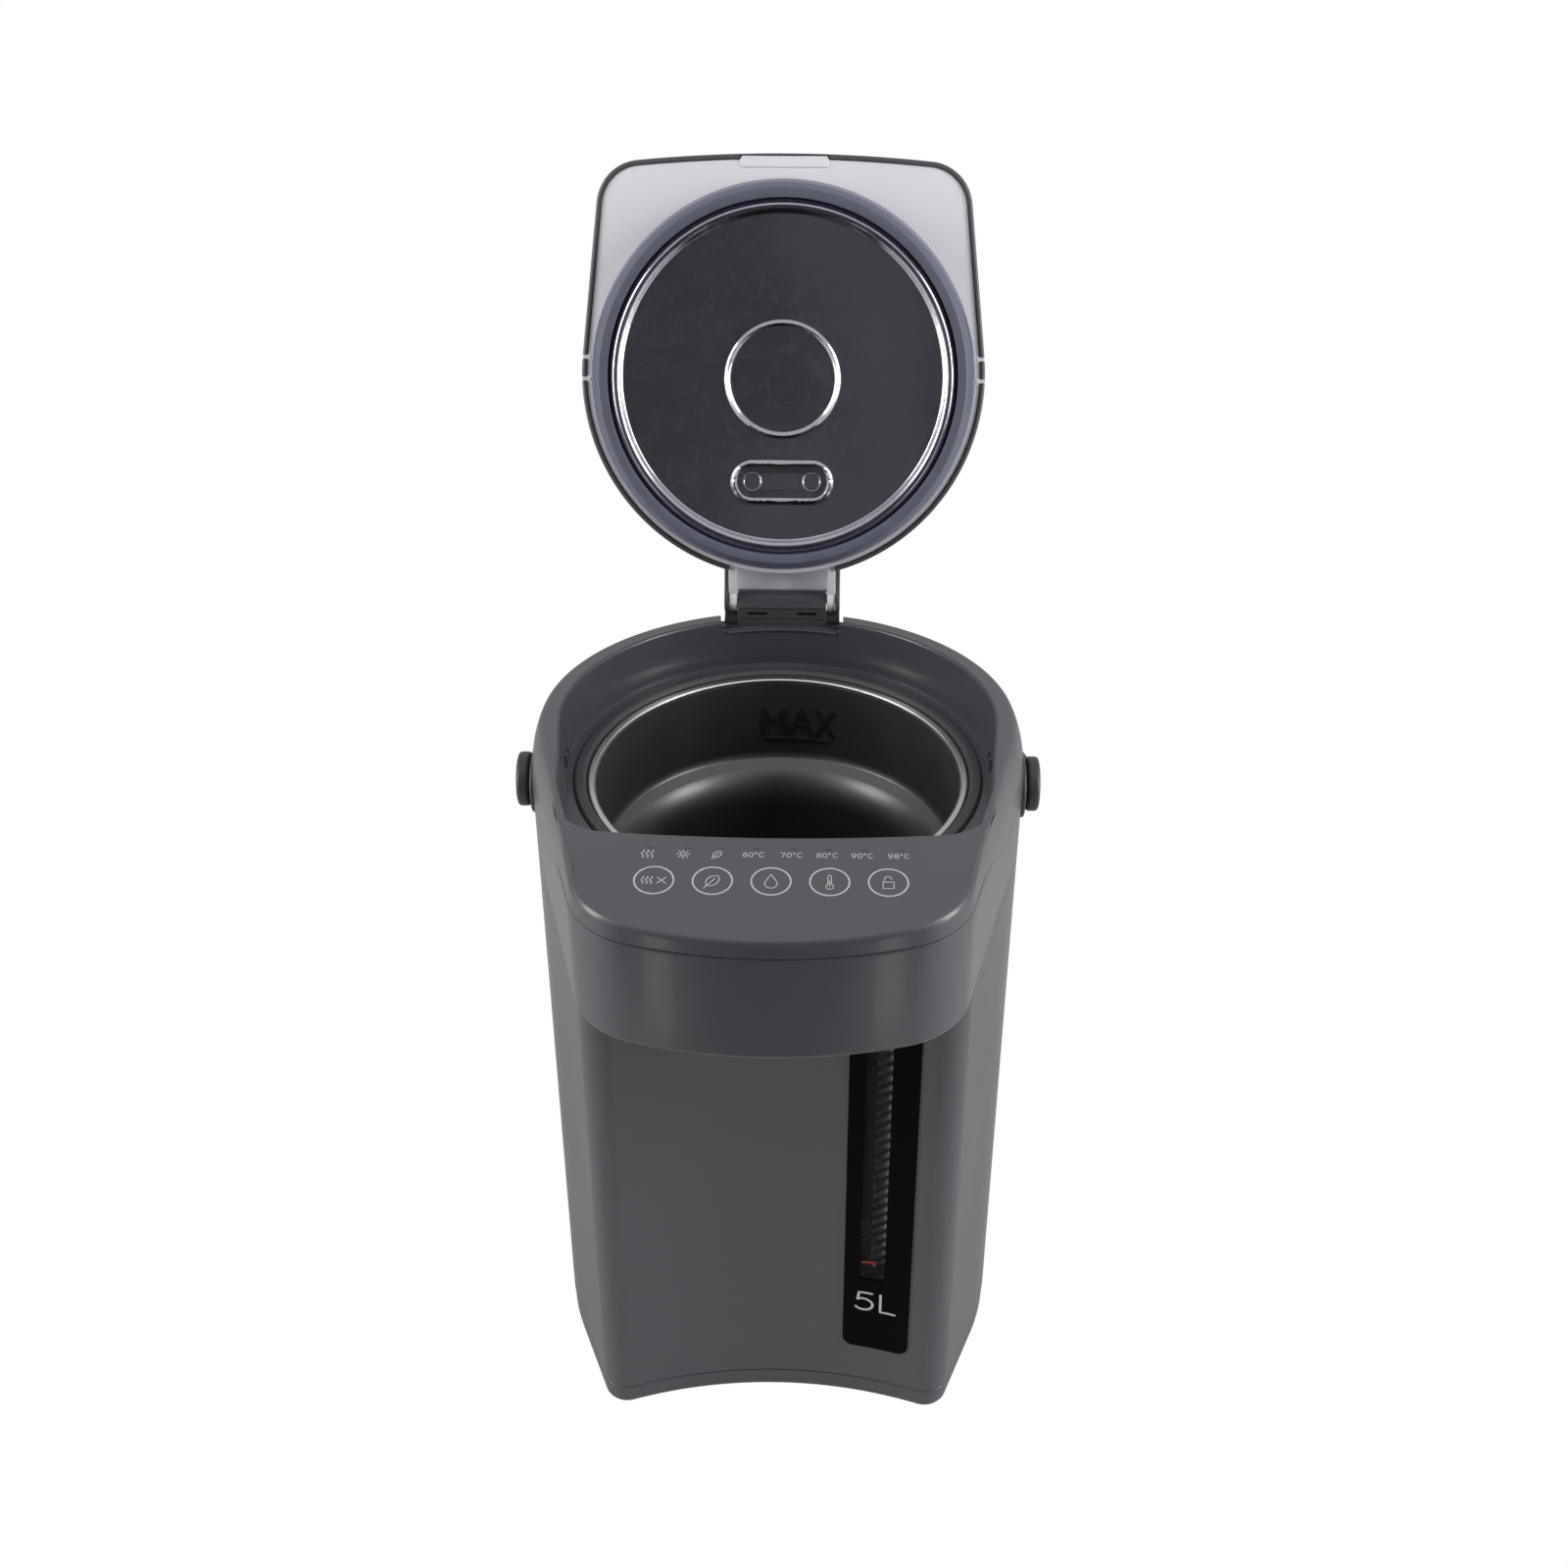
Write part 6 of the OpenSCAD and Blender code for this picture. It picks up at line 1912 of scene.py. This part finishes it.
@dataclass
class Works:
    """Screws, springs, feet and the hidden parts."""

    size: BodySize = BODY
    key_step: float = Fittings.key_x
    lamp_step: float = Fittings.lamp_step
    foot_places: tuple[Point, ...] = ((-72, 56, 0), (72, 56, 0), (-68, -66, 0), (68, -66, 0))

    def _on_panel(self, x: float, y: float, down: float, start: float) -> Point:
        """A point under the control panel.

        Args:
            x: sideways place.
            y: place along the panel's slope, from its start.
            down: distance under the panel's lower face.
            start: the Y place that the slope is measured from.

        Returns:
            The point.
        """
        c, s = outward(self.size.panel_lean)
        z = self.size.panel_front + (self.size.beak_y + start) * tan(radians(self.size.panel_lean)) - 2.5
        return (x, start + y * c + down * s, z + y * s - down * c)

    def _repeats(self) -> None:
        """Grows the screws, feet, lamps and springs."""
        c, s = outward(self.size.panel_lean)
        up, under, tilted, drooped = (0, 0, 1), (0, 0, -1), (0, -s, c), (0, s, -c)
        foot = revolve([(0.05, 0), (7.6, 0), (8.3, 0.25), (8.9, 1), (9, 1.6), (9, 3.1), (0.05, 3.1)], 48,
                       closed=False)
        lamp = box((-1.5, -0.8, 0), (1.5, 0.8, 1.2), 0.3, 0.2)
        boards = [self._on_panel(x, y, 8.65, -126) for x in (-56, 56) for y in (-12, 12)]
        posts = [(-6 + x, y, 10.65) for x in (-35, 35) for y in (35, 69)]
        straps = [(*(63 * outward(a)), 6.1) for a in (5, 175, 270)]
        rims = [(*(86 * outward(a)), 351.05) for a in (45, 135, 225, 315)]
        lamps = [self._on_panel(-48 + i * self.lamp_step, 0, 6.9, -112) for i in range(8)]
        tree = repeat_tree()
        for row in (
                Repeated("rubber_foot_set", foot, self.foot_places, up,
                         Look(Finish.RUBBER, "rubber_feet", "foot_rubber")),
                Repeated("base_screw_set", screw(3.2, 1.2, 1.5, 20), [(*p, 3.4) for p in Shell.screws], under,
                         Look(Finish.STEEL, "base_screws", "steel")),
                Repeated("board_screw_set", screw(2.6, 1.6, 1.35, 3), boards + posts, [drooped] * 4 + [up] * 4,
                         Look(Finish.STEEL, "board_screws", "steel")),
                Repeated("bracket_screw_set", screw(2.8, 1.6, 1.45, 3.6), straps, up,
                         Look(Finish.STEEL, "bracket_screws", "steel")),
                Repeated("hinge_screw_set", screw(1.4, 0.6, 1.38, 12.3), [(x, 103.5, 350.4) for x in (-14, 14)], up,
                         Look(Finish.STEEL, "hinge_screws", "steel")),
                Repeated("lid_screw_set", screw(2.6, 1.4, 1.38, 8), rims, up,
                         Look(Finish.STEEL, "lid_screws", "steel", "lid"), Seat.LID),
                Repeated("lamp_set", lamp, lamps, tilted, Look(Finish.LAMP, "indicator_leds", "light_plastic"),
                         most_turn=0.0)):
            row.build(tree)
        places = [self._on_panel(i * self.key_step, 0, 6.5, -128.5) for i in range(-2, 3)]
        coils = coil_tree().apply(spots("touch_spring_set", places, tilted), Coil_Radius=0.0054,
                                  Wire_Radius=0.0004, Length=0.0056, Turns=6.0, Finish=material(Finish.STEEL))
        dress(coils, Look(Finish.STEEL, "touch_springs", "steel"))

    def _hidden(self) -> None:
        """Stands welded, edge-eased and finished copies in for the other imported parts."""
        steel, dark, wool = (Finish.STEEL, "steel"), (Finish.DARK, "dark_plastic"), (Finish.WOOL, "glass_wool")
        hose, board = (Finish.SILICONE, "silicone"), (Finish.BOARD, "board_green")
        bodies = {
            "root": {
                "outlet_hose": (*hose, 0.2), "riser_hose": (*hose, 0.2), "suction_hose": (*hose, 0.2),
                "pot_outlet": (*steel, 0.2), "insulation": (*wool, 0.8),
                "heater_plate": (Finish.ALLOY, "heater_alloy", 0.4), "heater_band": (Finish.MICA, "mica_band", 0.3),
                "thermostats": (*steel, 0.25), "thermal_fuse": (Finish.CERAMIC, "ceramic_white", 0.2),
                "pot_brackets": (*steel, 0.2), "pump_volute": (*dark, 0.3), "pump_motor": (*steel, 0.3),
                "power_board": (*board, 0.15), "board_parts": (*dark, 0.4), "control_board": (*board, 0.15),
                "ribbon_cable": (Finish.RIBBON, "silicone", 0.1)},
            "lid": {"steam_duct": (*dark, 0.4), "lid_insulation": (*wool, 0.6)},
            "rotor": {"pump_shaft": (*steel, 0.2), "impeller": (Finish.LIGHT, "light_plastic", 0.15),
                      "rotor_magnet": (*dark, 0.3)}}
        for body, rows in bodies.items():
            for node, (finish, slot, bevel) in rows.items():
                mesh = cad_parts[node].data.copy()
                mesh.name = f"{node}_piece"
                dress(linked(mesh.name, cleaned(mesh, packed=True)), Look(finish, node, slot, body, bevel, 30))

    def build(self) -> None:
        """Makes every part of the works."""
        self._repeats()
        self._hidden()


# ---- studio


@dataclass
class Studio:
    """Floor, lights and the camera that matches the photograph."""

    turn: float = 1.0
    down: float = 33.884
    roll: float = 0.037
    place: Point = (15.81, -746.57, 823.54)
    lens: float = 45.497
    white: Colour = (1.0, 1.0, 1.0)
    floor_shade: float = 0.6
    mat_shade: float = 0.05
    strip_glow: float = 2.2
    card_shade: float = 0.085

    def _camera(self) -> None:
        """Places the camera."""
        data = bpy.data.cameras.new("camera")
        data.lens, data.sensor_width, data.clip_start, data.clip_end = self.lens, 36.0, 0.02, 30.0
        camera = linked("camera", data)
        turn, down, roll = (radians(v) for v in (self.turn, self.down, self.roll))
        back = Vector((sin(turn) * cos(down), -cos(turn) * cos(down), sin(down)))
        right = Vector((cos(turn), sin(turn), 0.0))
        up = back.cross(right)
        level, lift = right * cos(roll) + up * sin(roll), up * cos(roll) - right * sin(roll)
        stand = Matrix.Translation(Vector(self.place) * MM + Vector((0, AXIS_Y * MM, 0)))
        camera.matrix_world = stand @ Matrix((level, lift, back)).transposed().to_4x4()
        bpy.context.scene.camera = camera

    def _light(self, name: str, place: Point, aim: Point, size: tuple[float, float], watts: float,
               mirrored: bool = True) -> None:
        """Adds a soft rectangular light.

        Args:
            name: its name.
            place: where it hangs, in metres.
            aim: what it points at.
            size: its width and height.
            watts: its strength.
            mirrored: whether glossy surfaces show it.
        """
        data = bpy.data.lights.new(name, "AREA")
        data.shape, data.size, data.size_y, data.energy = "RECTANGLE", *size, watts
        lamp = linked(name, data)
        lamp.location = place
        lamp.rotation_euler = (Vector(aim) - Vector(place)).to_track_quat("-Z", "Y").to_euler()
        lamp.visible_glossy = mirrored

    def _sheet(self, name: str, corners: Sequence[Point], paint: Paint, lit: Signal, seen: Signal) -> None:
        """Puts a flat sheet in the studio.

        Args:
            name: its name.
            corners: its four corners, in metres.
            paint: the material that its two shaders belong to.
            lit: the shader that lights the pot and shows in its reflections.
            seen: the shader that the camera sees.
        """
        data = bpy.data.meshes.new(name)
        data.from_pydata(corners, [], [(0, 1, 2, 3)])
        data.materials.append(paint.done(paint.where_ray("Is Camera Ray", lit, seen)))
        linked(name, data)

    def _ground(self, name: str, corners: Sequence[Point], shade: float, glow: float = 0.0) -> None:
        """Lays a sheet that the camera sees as plain white.

        Args:
            name: its name.
            corners: its four corners, in metres.
            shade: its grey, as the pot is lit by it.
            glow: its own light; none for a matte sheet.
        """
        paint = Paint(bpy.data.materials.new(f"{name}_pale"))
        white = paint.node("Emission", {"Color": self.white, "Strength": 1.0})
        if glow > 0:
            lit = paint.node("Emission", {"Color": self.white, "Strength": glow})
        else:
            lit = paint.node("BsdfDiffuse", {"Color": mixed(self.white, shade)})
        self._sheet(name, corners, paint, lit, white)

    def _card(self) -> None:
        """Stands a dark card in front of the pot for the lid's plate to mirror, out of the camera's view; its patterns
        are painted reflections.
        """
        paint, shade = Paint(bpy.data.materials.new("front_card_matte")), self.card_shade
        x, _, z = paint.axes()
        # Painted reflections and shade: a darker foot, olive side patches and light streaks that the plate mirrors.
        olive = x.size().ramp(0.04, 0.15) * (1 - (z - 0.58).size().ramp(0.04, 0.13))
        streak = paint.noise(170.0, 3.0, (1.0, 1.0, 0.45)).ramp(0.54, 0.72) * z.ramp(0.56, 0.72)
        grey = paint.blend(z.ramp(0.42, 0.6), mixed((0.9, 0.88, 1.0), shade * 0.45), mixed((0.93, 0.91, 1.0), shade))
        grey = paint.blend(olive * 0.85, grey, mixed((0.98, 1.0, 0.72), shade * 1.1))
        grey = paint.blend(streak * 0.6, grey, mixed((0.95, 0.95, 1.0), shade * 2.6))
        corners = ((-0.9, -1.7, 0.05), (0.9, -1.7, 0.05), (0.9, -1.5, 2.1), (-0.9, -1.5, 2.1))
        self._sheet("front_card", corners, paint, paint.node("BsdfDiffuse", {"Color": grey}),
                    paint.node("BsdfTransparent", {}))

    def _world(self) -> None:
        """Fills the studio with soft light on a white ground."""
        paint = Paint(bpy.data.worlds.new("studio"))
        soft, bright, white = (paint.node("Background", {"Color": self.white, "Strength": strength})
                               for strength in (0.17, 0.62, 1.0))
        lit = paint.where_ray("Is Glossy Ray", soft, bright)
        bpy.context.scene.world = paint.done(paint.where_ray("Is Camera Ray", lit, white), "OutputWorld")

    def build(self) -> None:
        """Makes the floor, the lights and the camera."""
        bpy.context.scene.view_settings.view_transform = "Standard"
        self._world()
        for name, half, near, far, z, shade in (("floor", 8, -8, 8, -0.0005, self.floor_shade),
                                                ("front_mat", 0.7, -1.6, -0.46, 0.001, self.mat_shade)):
            self._ground(name, ((-half, near, z), (half, near, z), (half, far, z), (-half, far, z)), shade)
        strip = [(0.2, -0.47, 0.002), (0.27, -0.47, 0.002), (0.46, -0.8, 0.002), (0.36, -0.8, 0.002)]
        self._ground("floor_strip_left", [(-x, y, z) for x, y, z in strip[::-1]], 0.0, self.strip_glow)
        self._ground("floor_strip_right", strip, 0.0, self.strip_glow)
        self._camera()
        self._card()
        self._light("side_left", (-1.4, -0.42, 0.75), (0, -0.1, 0.25), (0.5, 1.5), 19.0)
        self._light("side_right", (1.4, -0.42, 0.75), (0, -0.1, 0.25), (0.5, 1.5), 22.0)
        self._light("overhead", (0.0, -0.1, 2.2), (0, 0, 0.3), (2.6, 2.6), 18.0, mirrored=False)


def main() -> None:
    """Builds everything in order."""
    logging.basicConfig(level=logging.INFO, format="%(name)s: %(message)s")
    for part in (Shell, Head, Pot, Lid, Handle, Gauge, Fittings, Works, Studio):
        part().build()


if __name__ == "__main__":
    main()
